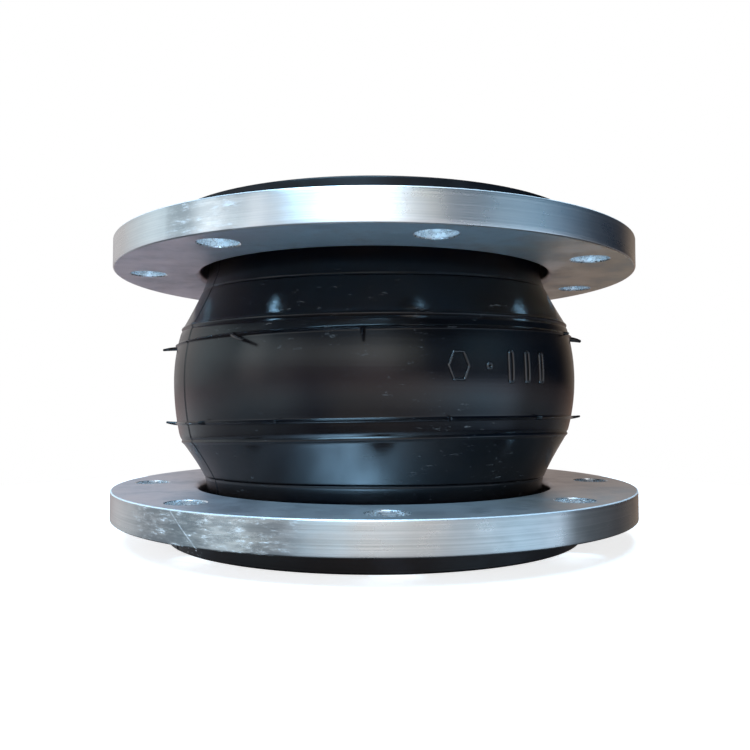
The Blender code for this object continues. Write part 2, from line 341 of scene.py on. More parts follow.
class Nodes:
    """A node tree, with short calls for the nodes that the finishes and the room use."""

    def __init__(self, tree: bpy.types.NodeTree) -> None:
        """Keeps the tree that the calls add to."""
        self.tree = tree

    def node(self, kind: str, inputs: dict | None = None, **settings: object) -> bpy.types.Node:
        """Adds a node.

        Args:
            kind: Blender's name of the node type.
            inputs: Values or sockets for its inputs, by name or number.
            **settings: Properties of the node.

        Returns:
            The node.
        """
        made = self.tree.nodes.new(kind)
        for key, value in settings.items():
            setattr(made, key, value)
        for key, value in (inputs or {}).items():
            self.feed(made.inputs[key], value)
        return made

    def feed(self, socket: Socket, value: object) -> None:
        """Links a socket to an input, or sets the input to a plain value."""
        if isinstance(value, bpy.types.NodeSocket):
            self.tree.links.new(value, socket)
        else:
            socket.default_value = value

    def math(self, operation: str, first: object, second: object = 0.0) -> Socket:
        """One arithmetic node's result."""
        return self.node("ShaderNodeMath", {0: first, 1: second}, operation=operation).outputs[0]

    def plus(self, first: object, second: object) -> Socket:
        """The sum of two."""
        return self.math("ADD", first, second)

    def minus(self, first: object, second: object) -> Socket:
        """The first less the second."""
        return self.math("SUBTRACT", first, second)

    def times(self, first: object, second: object) -> Socket:
        """The product of two."""
        return self.math("MULTIPLY", first, second)

    def rise(self, value: Socket, low: float, high: float) -> Socket:
        """Climbs evenly from 0 to 1 while the value goes from low to high."""
        return self.node("ShaderNodeMapRange", {0: value, 1: low, 2: high}).outputs[0]

    def mix(self, share: object, first: object, second: object, kind: str = "MIX") -> Socket:
        """A colour part of the way from the first to the second, or another blend of the two."""
        pair = [(*c, 1.0) if isinstance(c, tuple) and len(c) == 3 else c for c in (first, second)]
        inputs = {0: share, 6: pair[0], 7: pair[1]}
        return self.node("ShaderNodeMix", inputs, data_type="RGBA", blend_type=kind).outputs[2]

    def ramp(self, value: Socket, stops: list[tuple[float, Colour]]) -> Socket:
        """A colour looked up along stops whose places run from 0 to 1."""
        made = self.node("ShaderNodeValToRGB", {0: value})
        band = made.color_ramp
        for number, (place, colour) in enumerate(stops):
            stop = band.elements[number] if number < 2 else band.elements.new(place)
            stop.position = place
            stop.color = (*colour, 1.0)
        return made.outputs[0]


class Bench(Nodes):
    """A new material with a Principled shader, and the patterns that the finishes share."""

    def __init__(self, name: str) -> None:
        """Starts the material."""
        self.material = bpy.data.materials.new(name)
        self.material.use_nodes = True
        super().__init__(self.material.node_tree)
        self.shader = self.tree.nodes["Principled BSDF"]
        self.place = self.node("ShaderNodeTexCoord").outputs["Object"]

    def set(self, **values: object) -> None:
        """Sets or links the shader's inputs, named with underscores for spaces."""
        for key, value in values.items():
            self.feed(self.shader.inputs[key.replace("_", " ")], value)

    def noise(
        self, stretch: Colour, scale: float = 1.0, detail: float = 4.0, rough: float = 0.5
    ) -> Socket:
        """Cloudy noise on Object coordinates stretched by three factors, from 0 to 1."""
        mapped = self.node("ShaderNodeMapping", {"Vector": self.place, "Scale": stretch})
        inputs = {"Vector": mapped.outputs[0], "Scale": scale, "Detail": detail, "Roughness": rough}
        return self.node("ShaderNodeTexNoise", inputs).outputs["Fac"]

    def between(
        self, value: Socket, low: float, high: float, to_low: float, to_high: float
    ) -> Socket:
        """A value carried smoothly from one range to another and held at the ends."""
        inputs = {0: value, 1: low, 2: high, 3: to_low, 4: to_high}
        return self.node("ShaderNodeMapRange", inputs, interpolation_type="SMOOTHSTEP").outputs[0]

    def clouded(self, cloud: Socket, low: float, high: float) -> Socket:
        """A value that a cloud moves between two ends."""
        return self.between(cloud, 0.3, 0.7, low, high)

    def axes(self) -> tuple[Socket, Socket, Socket]:
        """The x, y and z of Object coordinates."""
        made = self.node("ShaderNodeSeparateXYZ", {0: self.place})
        return made.outputs[0], made.outputs[1], made.outputs[2]

    def reach(self) -> Socket:
        """The distance from the pipe's axis."""
        x, y, _ = self.axes()
        return self.math("SQRT", self.plus(self.times(x, x), self.times(y, y)))

    def azimuth(self) -> Socket:
        """The angle from the front towards +X, in degrees."""
        x, y, _ = self.axes()
        return self.times(self.math("ARCTAN2", x, self.times(y, -1.0)), 360.0 / TURN)

    def steps(self, azimuth: Socket, stops: tuple[tuple[float, float], ...]) -> Socket:
        """A grey read from stops of azimuth in degrees and brightness."""
        share = self.plus(self.math("DIVIDE", azimuth, 360.0), 0.5)
        return self.ramp(share, [(at / 360.0 + 0.5, (grey, grey, grey)) for at, grey in stops])

    def bump(
        self, height: Socket, strength: float, distance: float, normal: Socket | None = None
    ) -> Socket:
        """A normal tilted by a height pattern, on top of another normal if one is given."""
        inputs = {"Height": height, "Strength": strength, "Distance": distance}
        if normal is not None:
            inputs["Normal"] = normal
        return self.node("ShaderNodeBump", inputs).outputs[0]


class Finish(ABC):
    """A named surface finish that builds its material once."""

    name: str
    slot: str

    @abstractmethod
    def dress(self, bench: Bench) -> None:
        """Wires the finish's nodes."""

    def material(self) -> bpy.types.Material:
        """Returns the finish's material, made on first use."""
        known = bpy.data.materials.get(self.name)
        if known is None:
            bench = Bench(self.name)
            self.dress(bench)
            known = bench.material
        return known

    def coat(self, piece: bpy.types.Object) -> None:
        """Gives a piece this finish all over."""
        piece.data.materials.append(self.material())


@dataclass(frozen=True)
class MouldedRubber(Finish):
    """Glossy black cover rubber with faint mould streaks, a brown bloom and a few pale scuffs."""

    name: str = "glossy_moulded_rubber"
    slot: str = "cover_rubber"
    black: Colour = (0.0009, 0.0010, 0.0022)
    bloom: Colour = (0.0062, 0.0040, 0.0036)
    scuff: Colour = (0.10, 0.10, 0.10)
    smooth: float = 0.13
    dull: float = 0.22
    shine: float = 0.4

    def dress(self, bench: Bench) -> None:
        """Mixes bloom and scuffs into black, and lets streaks and grain move the gloss."""
        cloud = bench.noise((16.0, 16.0, 24.0), detail=6.0, rough=0.55)
        streak = bench.noise((7.0, 7.0, 330.0), detail=3.0)
        grain = bench.noise((1.0, 1.0, 1.0), scale=1500.0, detail=2.0)
        patch = bench.between(bench.noise((11.0, 11.0, 15.0), detail=2.0), 0.48, 0.66, 0.0, 1.0)
        fleck = bench.between(
            bench.noise((110.0, 110.0, 380.0), detail=6.0, rough=0.75), 0.6, 0.7, 0.0, 0.8
        )
        scuffed = bench.times(patch, fleck)
        tint = bench.mix(bench.between(cloud, 0.38, 0.68, 0.0, 1.0), self.black, self.bloom)
        gloss = bench.plus(bench.clouded(cloud, self.smooth, self.dull), bench.times(streak, 0.06))
        low = bench.bump(streak, 0.12, 0.0004)
        bench.set(
            Base_Color=bench.mix(scuffed, tint, self.scuff),
            Roughness=bench.plus(gloss, bench.times(scuffed, 0.3)),
            Specular_IOR_Level=self.shine,
            Normal=bench.bump(grain, 0.06, 0.0002, low),
        )


@dataclass(frozen=True)
class LipRubber(Finish):
    """Satin black lip rubber with handling dust, and pale torn threads beside the mould's split."""

    name: str = "satin_lip_rubber"
    slot: str = "lip_rubber"
    black: Colour = (0.0020, 0.0015, 0.0025)
    dust: Colour = (0.012, 0.009, 0.010)
    thread: Colour = (0.30, 0.29, 0.29)
    torn_at: float = -49.0
    torn_width: float = 5.0
    rim_from: float = 0.1328
    shine: float = 0.24

    def dress(self, bench: Bench) -> None:
        """Mixes dust into black by a cloud, with fine rings that run round the lip."""
        away = bench.math("ABSOLUTE", bench.minus(bench.azimuth(), self.torn_at))
        near = bench.between(away, self.torn_width * 0.5, self.torn_width, 1.0, 0.0)
        fibre = bench.between(
            bench.noise((260.0, 260.0, 420.0), detail=5.0, rough=0.7), 0.55, 0.62, 0.0, 1.0
        )
        on_rim = bench.between(bench.reach(), self.rim_from, self.rim_from + 0.0008, 0.0, 1.0)
        near = bench.times(near, on_rim)
        torn = bench.times(near, fibre)
        cloud = bench.noise((30.0, 30.0, 60.0), detail=6.0, rough=0.6)
        rings = bench.noise((6.0, 6.0, 600.0), detail=3.0)
        grain = bench.noise((1.0, 1.0, 1.0), scale=1300.0, detail=2.0)
        dusty = bench.mix(bench.between(cloud, 0.45, 0.8, 0.0, 0.7), self.black, self.dust)
        bench.set(
            Base_Color=bench.mix(torn, dusty, self.thread),
            Roughness=bench.clouded(cloud, 0.3, 0.5),
            Specular_IOR_Level=self.shine,
            Normal=bench.bump(grain, 0.12, 0.0003, bench.bump(rings, 0.15, 0.0004)),
        )


@dataclass(frozen=True)
class LinerRubber(Finish):
    """Smooth inner rubber with broad, faint wrap bands along the bore."""

    name: str = "smooth_liner_rubber"
    slot: str = "liner_rubber"
    black: Colour = (0.010, 0.010, 0.011)
    pale: Colour = (0.028, 0.027, 0.026)

    def dress(self, bench: Bench) -> None:
        """Bands the colour by height and mottles the gloss."""
        bands = bench.noise((5.0, 5.0, 70.0), detail=4.0)
        cloud = bench.noise((28.0, 28.0, 28.0), detail=6.0, rough=0.6)
        bench.set(
            Base_Color=bench.mix(bench.between(cloud, 0.35, 0.75, 0.0, 1.0), self.black, self.pale),
            Roughness=bench.clouded(cloud, 0.32, 0.5),
            Normal=bench.bump(bands, 0.25, 0.0006),
        )


@dataclass(frozen=True)
class FillerRubber(Finish):
    """Dull brown-black filler rubber round the wire ring."""

    name: str = "dull_filler_rubber"
    slot: str = "filler_rubber"
    black: Colour = (0.020, 0.017, 0.015)
    pale: Colour = (0.05, 0.043, 0.036)

    def dress(self, bench: Bench) -> None:
        """Mottles colour and surface with one cloud."""
        cloud = bench.noise((120.0, 120.0, 120.0), detail=6.0, rough=0.65)
        bench.set(
            Base_Color=bench.mix(cloud, self.black, self.pale),
            Roughness=bench.clouded(cloud, 0.55, 0.75),
            Normal=bench.bump(cloud, 0.3, 0.0004),
        )


@dataclass(frozen=True)
class NylonCord(Finish):
    """Rubbered nylon cord cloth, whose cords cross the wall on the bias."""

    name: str = "rubbered_nylon_cord"
    slot: str = "nylon_cord"
    cord: Colour = (0.36, 0.27, 0.16)
    skim: Colour = (0.05, 0.04, 0.032)
    cords_round: float = 420.0
    cords_along: float = 150.0

    def dress(self, bench: Bench) -> None:
        """Draws parallel cords slanting over the piece's own map, with skim rubber between them."""
        wrap = bench.node("ShaderNodeUVMap", uv_map="wrap").outputs[0]
        parts = bench.node("ShaderNodeSeparateXYZ", {0: wrap})
        turns = bench.times(parts.outputs[0], self.cords_round)
        rise = bench.times(parts.outputs[1], self.cords_along)
        wave = bench.math("SINE", bench.times(bench.plus(turns, rise), TURN))
        cloud = bench.noise((200.0, 200.0, 200.0), detail=4.0)
        raised = bench.between(wave, -0.4, 0.6, 0.0, 1.0)
        bench.set(
            Base_Color=bench.mix(
                bench.times(raised, bench.between(cloud, 0.2, 0.6, 0.6, 1.0)), self.skim, self.cord
            ),
            Roughness=bench.clouded(cloud, 0.7, 0.9),
            Normal=bench.bump(raised, 0.6, 0.0003),
        )


@dataclass(frozen=True)
class BeadWire(Finish):
    """Drawn steel wire with a bronze coat."""

    name: str = "bronze_coated_wire"
    slot: str = "bead_wire"
    bronze: Colour = (0.55, 0.38, 0.2)
    steel: Colour = (0.5, 0.48, 0.45)

    def dress(self, bench: Bench) -> None:
        """Varies the coat along the wire and adds drawing marks."""
        cloud = bench.noise((80.0, 80.0, 80.0), detail=4.0)
        bench.set(
            Metallic=1.0,
            Base_Color=bench.mix(bench.between(cloud, 0.4, 0.7, 0.0, 1.0), self.bronze, self.steel),
            Roughness=bench.clouded(cloud, 0.25, 0.42),
            Normal=bench.bump(cloud, 0.1, 0.0002),
        )


@dataclass(frozen=True)
class TurnedZinc(Finish):
    """A flange's turned and zinc-plated rim: fine lines round it, dull patches and scratches.

    Painted reflection: light and dark bands that stand in for the room's reflection are painted
    into the rim's colour. They are given as stops of azimuth in degrees and a share of the full
    brightness. A painted highlight lines its upper edge. A scratch may cross the rim from one
    azimuth at the upper edge to another at the lower.
    """

    name: str
    bright: Colour
    dull: Colour
    reflection_stops: tuple[tuple[float, float], ...]
    scuffed_from: float
    scuffed_to: float
    upper_edge: float
    thickness: float = 0.0175
    scratch: tuple[float, float] = (-37.0, -30.5)
    scratch_strength: float = 0.0
    stain: float = 0.5
    stained: Colour = (0.22, 0.26, 0.29)
    # Bare metal of the scuffs and scratches, and the colour of the painted highlight on the upper
    # edge
    bare_metal_and_highlight: Colour = (0.88, 0.9, 0.92)
    scuff_fade: float = 4.0
    slot: str = "zinc_steel"

    def scratched(self, bench: Bench, azimuth: Socket, below: Socket) -> Socket:
        """The scratch as a share from 0 to 1: near enough to its own slanting line."""
        top, bottom = self.scratch
        line = bench.plus(bench.times(below, (bottom - top) / self.thickness), top)
        wander = bench.times(bench.noise((60.0, 60.0, 60.0), detail=3.0), 0.5)
        away = bench.math("ABSOLUTE", bench.minus(bench.plus(azimuth, wander), line))
        broken = bench.between(bench.noise((300.0, 300.0, 300.0), detail=2.0), 0.35, 0.6, 0.3, 1.0)
        strength = bench.times(broken, self.scratch_strength)
        return bench.times(bench.between(away, 0.05, 0.24, 1.0, 0.0), strength)

    def dress(self, bench: Bench) -> None:
        """Moves colour and gloss by lines that run round the rim, scuffs one stretch of it, paints
        reflection bands round it and paints a highlight along its upper edge.
        """
        fine = bench.noise((4.0, 4.0, 1500.0), detail=3.0, rough=0.6)
        broad = bench.noise((9.0, 9.0, 130.0), detail=4.0, rough=0.6)
        cloud = bench.noise((26.0, 26.0, 40.0), detail=6.0, rough=0.6)
        azimuth = bench.azimuth()
        first, last, fade = self.scuffed_from, self.scuffed_to, self.scuff_fade
        rising = bench.between(azimuth, first - fade, first + fade, 0.0, 1.0)
        falling = bench.between(azimuth, last - fade, last + fade, 1.0, 0.0)
        stretch = bench.times(rising, falling)
        threads = bench.between(
            bench.noise((120.0, 120.0, 520.0), detail=6.0, rough=0.8), 0.5, 0.64, 0.0, 0.8
        )
        blotch = bench.between(
            bench.noise((55.0, 55.0, 210.0), detail=6.0, rough=0.7), 0.42, 0.58, 0.0, 1.0
        )
        below = bench.minus(self.upper_edge, bench.axes()[2])
        # Painted highlight: a pale line just below the upper edge, where the edge faces the light
        # from above
        painted_edge_highlight = bench.between(below, 0.0002, 0.0008, 1.0, 0.0)
        worn = bench.times(stretch, bench.times(blotch, threads))
        worn = bench.math("MAXIMUM", worn, self.scratched(bench, azimuth, below))
        dark = bench.times(stretch, bench.minus(1.0, blotch))
        lines = bench.times(bench.plus(fine, broad), 0.5)
        tone = bench.mix(bench.between(lines, 0.36, 0.62, 0.0, 1.0), self.dull, self.bright)
        tone = bench.mix(
            bench.times(bench.between(cloud, 0.5, 0.75, 0.0, 1.0), 0.35), tone, self.dull
        )
        tone = bench.mix(bench.times(dark, self.stain), tone, self.stained)
        # Painted reflection: light and dark bands by azimuth, multiplied into the plating's colour
        painted_reflection = bench.steps(bench.plus(azimuth, bench.times(cloud, 3.0)), self.reflection_stops)
        tone = bench.mix(1.0, tone, painted_reflection, "MULTIPLY")
        gloss = bench.plus(bench.clouded(cloud, 0.2, 0.3), bench.times(broad, 0.1))
        turning = bench.bump(fine, 0.18, 0.0003, bench.bump(broad, 0.08, 0.0005))
        # Mixes real wear with the painted highlight on the upper edge
        pale = bench.math("MAXIMUM", worn, painted_edge_highlight)
        bench.set(
            Metallic=bench.minus(1.0, bench.times(pale, 0.6)),
            Base_Color=bench.mix(pale, tone, self.bare_metal_and_highlight),
            Roughness=bench.plus(gloss, bench.times(pale, 0.15)),
            Anisotropic=0.8,
            Anisotropic_Rotation=0.25,
            Tangent=bench.node(
                "ShaderNodeTangent", direction_type="UV_MAP", uv_map="wrap"
            ).outputs[0],
            Normal=bench.bump(worn, 0.1, 0.0002, turning),
        )


@dataclass(frozen=True)
class PlatedFace(Finish):
    """A flange's plated face, with pink, blue and straw tints that are partly thin passivation and
    partly painted reflection of the light on each side.
    """

    name: str
    left_tint_and_reflection: Colour
    front_tint_and_reflection: Colour
    right_tint_and_reflection: Colour
    cloud_tint: Colour = (0.42, 0.42, 0.43)
    metal: float = 0.86
    ring_pitch: float = 0.0011
    slot: str = "zinc_steel"

    def dress(self, bench: Bench) -> None:
        """Lets the tint, partly passivation and partly painted reflection, drift from left to right
        with clouds in it, over faint turning rings.
        """
        x = bench.axes()[0]
        cloud = bench.noise((11.0, 11.0, 11.0), detail=4.0, rough=0.55)
        blotch = bench.noise((45.0, 45.0, 45.0), detail=6.0, rough=0.65)
        # Painted reflection mixed with passivation tint: the colour changes from the left side
        # through the middle to the right side
        drift = bench.plus(x, bench.times(bench.minus(cloud, 0.5), 0.16))
        tint = bench.mix(
            bench.between(drift, -0.12, -0.02, 0.0, 1.0), self.left_tint_and_reflection, self.front_tint_and_reflection
        )
        tint = bench.mix(bench.between(drift, 0.04, 0.12, 0.0, 1.0), tint, self.right_tint_and_reflection)
        tint = bench.mix(bench.between(blotch, 0.45, 0.7, 0.0, 0.4), tint, self.cloud_tint)
        rings = bench.math("SINE", bench.times(bench.reach(), TURN / self.ring_pitch))
        pits = bench.noise((420.0, 420.0, 420.0), detail=3.0)
        bench.set(
            Metallic=self.metal,
            Base_Color=tint,
            Roughness=bench.clouded(blotch, 0.28, 0.44),
            Normal=bench.bump(pits, 0.03, 0.0002, bench.bump(rings, 0.05, 0.0002)),
        )


@dataclass(frozen=True)
class DrilledSteel(Finish):
    """The bright drilled wall of a bolt hole."""

    name: str = "drilled_bright_steel"
    slot: str = "zinc_steel"
    bright: Colour = (0.95, 0.96, 0.97)
    dull: Colour = (0.6, 0.63, 0.66)

    def dress(self, bench: Bench) -> None:
        """Draws drill lines round the hole as layers in height."""
        lines = bench.noise((40.0, 40.0, 900.0), detail=3.0, rough=0.55)
        flecks = bench.noise((500.0, 500.0, 500.0), detail=3.0)
        bench.set(
            Metallic=0.9,
            Base_Color=bench.mix(bench.between(lines, 0.35, 0.6, 0.0, 1.0), self.dull, self.bright),
            Roughness=bench.between(flecks, 0.35, 0.65, 0.2, 0.38),
            Normal=bench.bump(lines, 0.06, 0.0003),
        )


@dataclass(frozen=True)
class FloorPaint(Finish):
    """The pale studio floor."""

    name: str = "pale_studio_floor"
    slot: str = ""
    white: Colour = (0.8, 0.8, 0.8)
    glow: float = 0.74

    def dress(self, bench: Bench) -> None:
        """A matte white that is a little lit from itself, so that the floor meets the backdrop."""
        bench.set(Roughness=0.9, Emission_Strength=self.glow)
        bench.set(
            Base_Color=(*self.white, 1.0),
            Emission_Color=(1.0, 1.0, 1.0, 1.0),
            Specular_IOR_Level=0.0,
        )


# ---- the wall ------------------------------------------------------------------------------------
@dataclass(frozen=True)
class LineAround:
    """A line moulded round the sphere: level, or on a plane that tips a little.

    Its height is middle + to_right * sin(azimuth) + to_front * cos(azimuth).
    """

    middle: float
    to_right: float
    to_front: float

    def height(self, azimuth: np.ndarray) -> np.ndarray:
        """The line's height above the floor at each azimuth."""
        return self.middle + self.to_right * np.sin(azimuth) + self.to_front * np.cos(azimuth)


@dataclass(frozen=True)
class SphereShape:
    """Outer outline of the wall as a radius at each distance from mid height.

    The belt is a circular arc. Each shoulder falls from it to the neck by a power law. The
    corner between them is softened by averaging over a bell curve.
    """

    equator_radius: float = 0.131
    belt_radius: float = 0.126
    belt_half_height: float = 0.0345
    neck_radius: float = 0.110
    neck_start: float = 0.066
    power: float = 1.22
    softening: float = 0.0024
    wall: float = 0.010
    half_length: float = 0.11
    step: float = 0.0002

    def outline(self) -> tuple[np.ndarray, np.ndarray]:
        """Returns distances from mid height and the outer radius at each."""
        reach = np.arange(-self.half_length, self.half_length + self.step, self.step)
        away = np.abs(reach)
        sag = self.equator_radius - self.belt_radius
        bow = (self.belt_half_height**2 + sag**2) / (2 * sag)
        belt = self.equator_radius - bow + np.sqrt(np.maximum(bow**2 - away**2, 0.0))
        beyond, span = away - self.belt_half_height, self.neck_start - self.belt_half_height
        share = np.clip(beyond / span, 0.0, 1.0)
        drop = self.belt_radius - self.neck_radius
        shoulder = self.neck_radius + drop * (1 - share) ** self.power
        hard = np.where(away < self.belt_half_height, belt, shoulder)
        bell = np.exp(-0.5 * (np.arange(-50, 51) * self.step / self.softening) ** 2)
        soft = np.convolve(np.pad(hard, 50, mode="edge"), bell / bell.sum(), mode="valid")
        keep = reach >= -1e-9
        return reach[keep], soft[keep]

    def radius(self, away: np.ndarray) -> np.ndarray:
        """Outer radius at a distance from mid height."""
        return np.interp(np.abs(away), *self.outline())

    def at_depth(self, away: np.ndarray, depth: float) -> np.ndarray:
        """Radius of the surface that lies square to the outline at a depth from the bore.

        Args:
            away: Distances from mid height.
            depth: Distance outwards from the bore surface.

        Returns:
            The radii.
        """
        reach, radius = self.outline()
        slope = np.gradient(radius, reach)
        square = np.sqrt(1 + slope**2)
        inwards = self.wall - depth
        return np.interp(np.abs(away), reach + inwards * slope / square, radius - inwards / square)


@dataclass(frozen=True)
class Relief:
    """What is moulded onto the cover: ribs, thin flash, creases and the mould's upright seam."""

    rib_height: float = 0.0007
    rib_width: float = 0.0009
    flash_height: float = 0.0014
    flash_width: float = 0.00055
    crease_depth: float = 0.0004
    crease_width: float = 0.0007
    seam_depth: float = 0.0005
    seam_width: float = 0.00045
    seam_azimuths: tuple[float, float] = (-58.0, 122.0)

    def rib(self, gap: np.ndarray) -> np.ndarray:
        """A bell-shaped rib with a narrow groove just below it, by height from its line."""
        rib = self.rib_height * np.exp(-((gap / self.rib_width) ** 2))
        groove = 0.6 * self.rib_height * np.exp(
            -(((gap + 1.9 * self.rib_width) / (0.6 * self.rib_width)) ** 2)
        )
        return rib - groove

    def flash(self, gap: np.ndarray) -> np.ndarray:
        """A thin upright flash, by height from its line."""
        return self.flash_height * np.exp(-((gap / self.flash_width) ** 2))

    def crease(self, gap: np.ndarray) -> np.ndarray:
        """A shallow crease, by height from its line."""
        return -self.crease_depth * np.exp(-((gap / self.crease_width) ** 2))

    def seam(self, azimuth: np.ndarray, radius: float) -> np.ndarray:
        """The two upright seams, each a groove beside a low ridge."""
        total = np.zeros_like(azimuth)
        for at in self.seam_azimuths:
            gap = (np.mod(azimuth - math.radians(at) + math.pi, TURN) - math.pi) * radius
            total -= self.seam_depth * np.exp(-((gap / self.seam_width) ** 2))
            total += 0.4 * self.seam_depth * np.exp(
                -(((gap - 2.4 * self.seam_width) / self.seam_width) ** 2)
            )
        return total

    def columns(self, count: int, radius: float) -> np.ndarray:
        """Azimuths over one turn, even apart from extra ones beside the two seams."""
        even = np.linspace(-math.pi, math.pi, count, endpoint=False)
        beside = np.linspace(-5.0, 5.0, 21) * self.seam_width / radius
        extra = np.radians(np.array(self.seam_azimuths))[:, None] + beside[None, :]
        return np.unique(np.concatenate([even, extra.ravel()]).round(7))


def rows_between(low: np.ndarray, high: np.ndarray, fine: np.ndarray, count: int) -> np.ndarray:
    """Heights from one line up to another, close together beside both.

    Args:
        low: The lower line's height in each column.
        high: The upper line's height in each column.
        fine: Small distances from a line, rising, which start at zero.
        count: Number of rows in the open stretch between the two.

    Returns:
        Heights (rows, columns), both lines included.
    """
    start, stop = low[None, :] + fine[:, None], high[None, :] - fine[::-1, None]
    share = np.linspace(0.0, 1.0, count + 2)[1:-1, None]
    return np.concatenate([start, start[-1] + (stop[0] - start[-1]) * share, stop])


@dataclass
class WallPly:
    """One layer of the wall, from a depth to a depth, with its way into the lip."""

    node: str
    inside: float
    outside: float
    finish: Finish
    end_inside: np.ndarray
    end_outside: np.ndarray


@dataclass
class Bellows:
    """The layered wall: inner liner, four cord plies and outer cover, each in three bands.

    Every band is closed. The bands meet at the two heights of band_meeting.
    """

    shape: SphereShape = field(default_factory=SphereShape)
    relief: Relief = field(default_factory=Relief)
    lower_rib: LineAround = LineAround(0.06175, 0.00275, 0.00465)
    lower_flash: LineAround = LineAround(0.07315, 0.00205, 0.00355)
    upper_flash: LineAround = LineAround(0.12415, 0.00305, -0.00045)
    upper_rib: LineAround = LineAround(0.13375, 0.00145, -0.00225)
    neck_crease: dict[End, LineAround] = field(
        default_factory=lambda: {
            End.LOWER: LineAround(0.0375, 0.0, 0.0035),
            End.UPPER: LineAround(0.1585, 0.0012, -0.0050),
        }
    )
    clearance: float = 0.0003
    liner: float = 0.0026
    ply: float = 0.0008
    lip_face: float = 0.0026
    lip_height: float = 0.015
    layer_end_radius: float = 0.1287
    turn_up: float = 0.009
    inner_bend: float = 0.0043
    outer_bend: float = 0.013
    outer_bend_height: float = 0.0199
    fourth_ply_end: float = 0.026
    back_fillet: float = 0.003
    bore: float = 0.100
    band_meeting: tuple[float, float] = (0.0620, 0.1340)
    bend_from: float = 0.022
    belt_reach: tuple[float, float] = (0.0673, 0.1309)
    shoulder_reach: dict[End, float] = field(
        default_factory=lambda: {End.LOWER: 0.0562, End.UPPER: 0.1366}
    )
    neck_step: float = 0.0012
    path_step: float = 0.0016
    cover_columns: int = 360
    ply_columns: int = 128

    def ply_depths(self, number: int) -> tuple[float, float]:
        """Depths of the two sides of a cord ply, counted from one."""
        inside = self.liner + self.clearance + (number - 1) * (self.ply + self.clearance)
        return inside, inside + self.ply

    def bend_out(self, depth: float, bend: float, height: float) -> np.ndarray:
        """The quarter turn from running down the neck to running out in the lip."""
        return arc((self.bore + bend, height), bend - depth, 180.0, 270.0, 10)

    def inner_turn(self, depth: float) -> np.ndarray:
        """The quarter turn of the first two plies, under the wire ring."""
        bend = self.ply_depths(1)[0] + self.inner_bend
        return self.bend_out(depth, bend, self.lip_face + self.clearance + self.inner_bend)

    def outer_turn(self, depth: float) -> np.ndarray:
        """The quarter turn of the third ply and of the cover, above the wire ring."""
        return self.bend_out(depth, self.outer_bend, self.outer_bend_height)

    def lip_run(self, depth: float, number: int) -> np.ndarray:
        """A cord ply's path from the neck into the lip, on one of its sides.

        The first ply runs out under the wire ring, the second turns up again beyond it, the
        third passes above it and the fourth stops on the neck.
        """
        if number == 4:
            return np.array([[self.bore + depth, self.fourth_ply_end]])
        bent = self.outer_turn(depth) if number == 3 else self.inner_turn(depth)
        if number != 2:
            return np.vstack([bent, [self.layer_end_radius, bent[-1, 1]]])
        turn = self.layer_end_radius - (depth - self.ply_depths(2)[0])
        return np.vstack([bent, [turn, bent[-1, 1]], [turn, self.turn_up]])

    def layers(self) -> list[WallPly]:
        """The layers without relief: the liner and the four plies."""
        stop = self.lip_face + self.clearance
        straight = [np.array([[self.bore + depth, stop]]) for depth in (0.0, self.liner)]
        made = [WallPly("inner_liner", 0.0, self.liner, LinerRubber(), *straight)]
        for number in range(1, 5):
            inside, outside = self.ply_depths(number)
            runs = [self.lip_run(depth, number) for depth in (inside, outside)]
            made.append(WallPly(f"cord_ply_{number}", inside, outside, NylonCord(), *runs))
        return made

    def shoulder_path(self, depth: float, run: np.ndarray, top: float) -> np.ndarray:
        """A layer's side from a height down into the lip, as (radius, height)."""
        heights = np.arange(top, run[0, 1] + 0.0004, -self.neck_step)
        neck = np.stack([self.shape.at_depth(MIDDLE - heights, depth), heights], -1)
        return refined(np.vstack([neck, run]), self.path_step)

    def plain_band(self, layer: WallPly, band: Band) -> bpy.types.Object:
        """One closed band of a layer, the same all round."""
        azimuth = np.linspace(-math.pi, math.pi, self.ply_columns, endpoint=False)
        low, high = self.band_meeting
        name = f"{layer.node}_{band.value}"
        if band is Band.BELT:
            heights = np.linspace(low, high, 49)
            sides = [
                self.shape.at_depth(heights - MIDDLE, depth)
                for depth in (layer.inside, layer.outside)
            ]
            radius = np.concatenate([sides[0], sides[1][::-1]])
            height = np.concatenate([heights, heights[::-1]])
        else:
            end = End.LOWER if band is Band.LOWER_SHOULDER else End.UPPER
            top = low if end is End.LOWER else LENGTH - high
            inner = self.shoulder_path(layer.inside, layer.end_inside, top)
            outer = self.shoulder_path(layer.outside, layer.end_outside, top)
            section = np.vstack([inner, outer[::-1]])
            radius, height = section[:, 0], end.place(section[:, 1])
        return turned_ring(
            name, *np.broadcast_arrays(radius[:, None], height[:, None] + 0 * azimuth), azimuth
        )

    def cover_radius(self, end: End, height: np.ndarray, azimuth: np.ndarray) -> np.ndarray:
        """The cover's outer radius, with all that is moulded onto it.

        The corner between belt and shoulder follows the rib, so the outline is read at a height
        that is shifted by the rib's own offset, fading out towards mid height and neck.

        Args:
            end: Which half the points are in.
            height: Heights above the floor (rows, columns).
            azimuth: Azimuth of each column.

        Returns:
            Radii in the layout of height.
        """
        rib = self.lower_rib if end is End.LOWER else self.upper_rib
        flash = self.lower_flash if end is End.LOWER else self.upper_flash
        away = np.abs(height - MIDDLE)
        offset = np.abs(rib.height(azimuth) - MIDDLE) - self.shape.belt_half_height
        fade = np.interp(away, [0.0, self.shape.belt_half_height, 0.060], [0.0, 1.0, 0.0])
        radius = self.shape.radius(away - offset * fade)
        upright = -1.0 if end is End.LOWER else 1.0
        radius = radius + self.relief.rib(upright * (height - rib.height(azimuth)))
        radius += self.relief.flash(height - flash.height(azimuth))
        radius += self.relief.crease(height - self.neck_crease[end].height(azimuth))
        return radius + self.relief.seam(azimuth, self.shape.equator_radius)

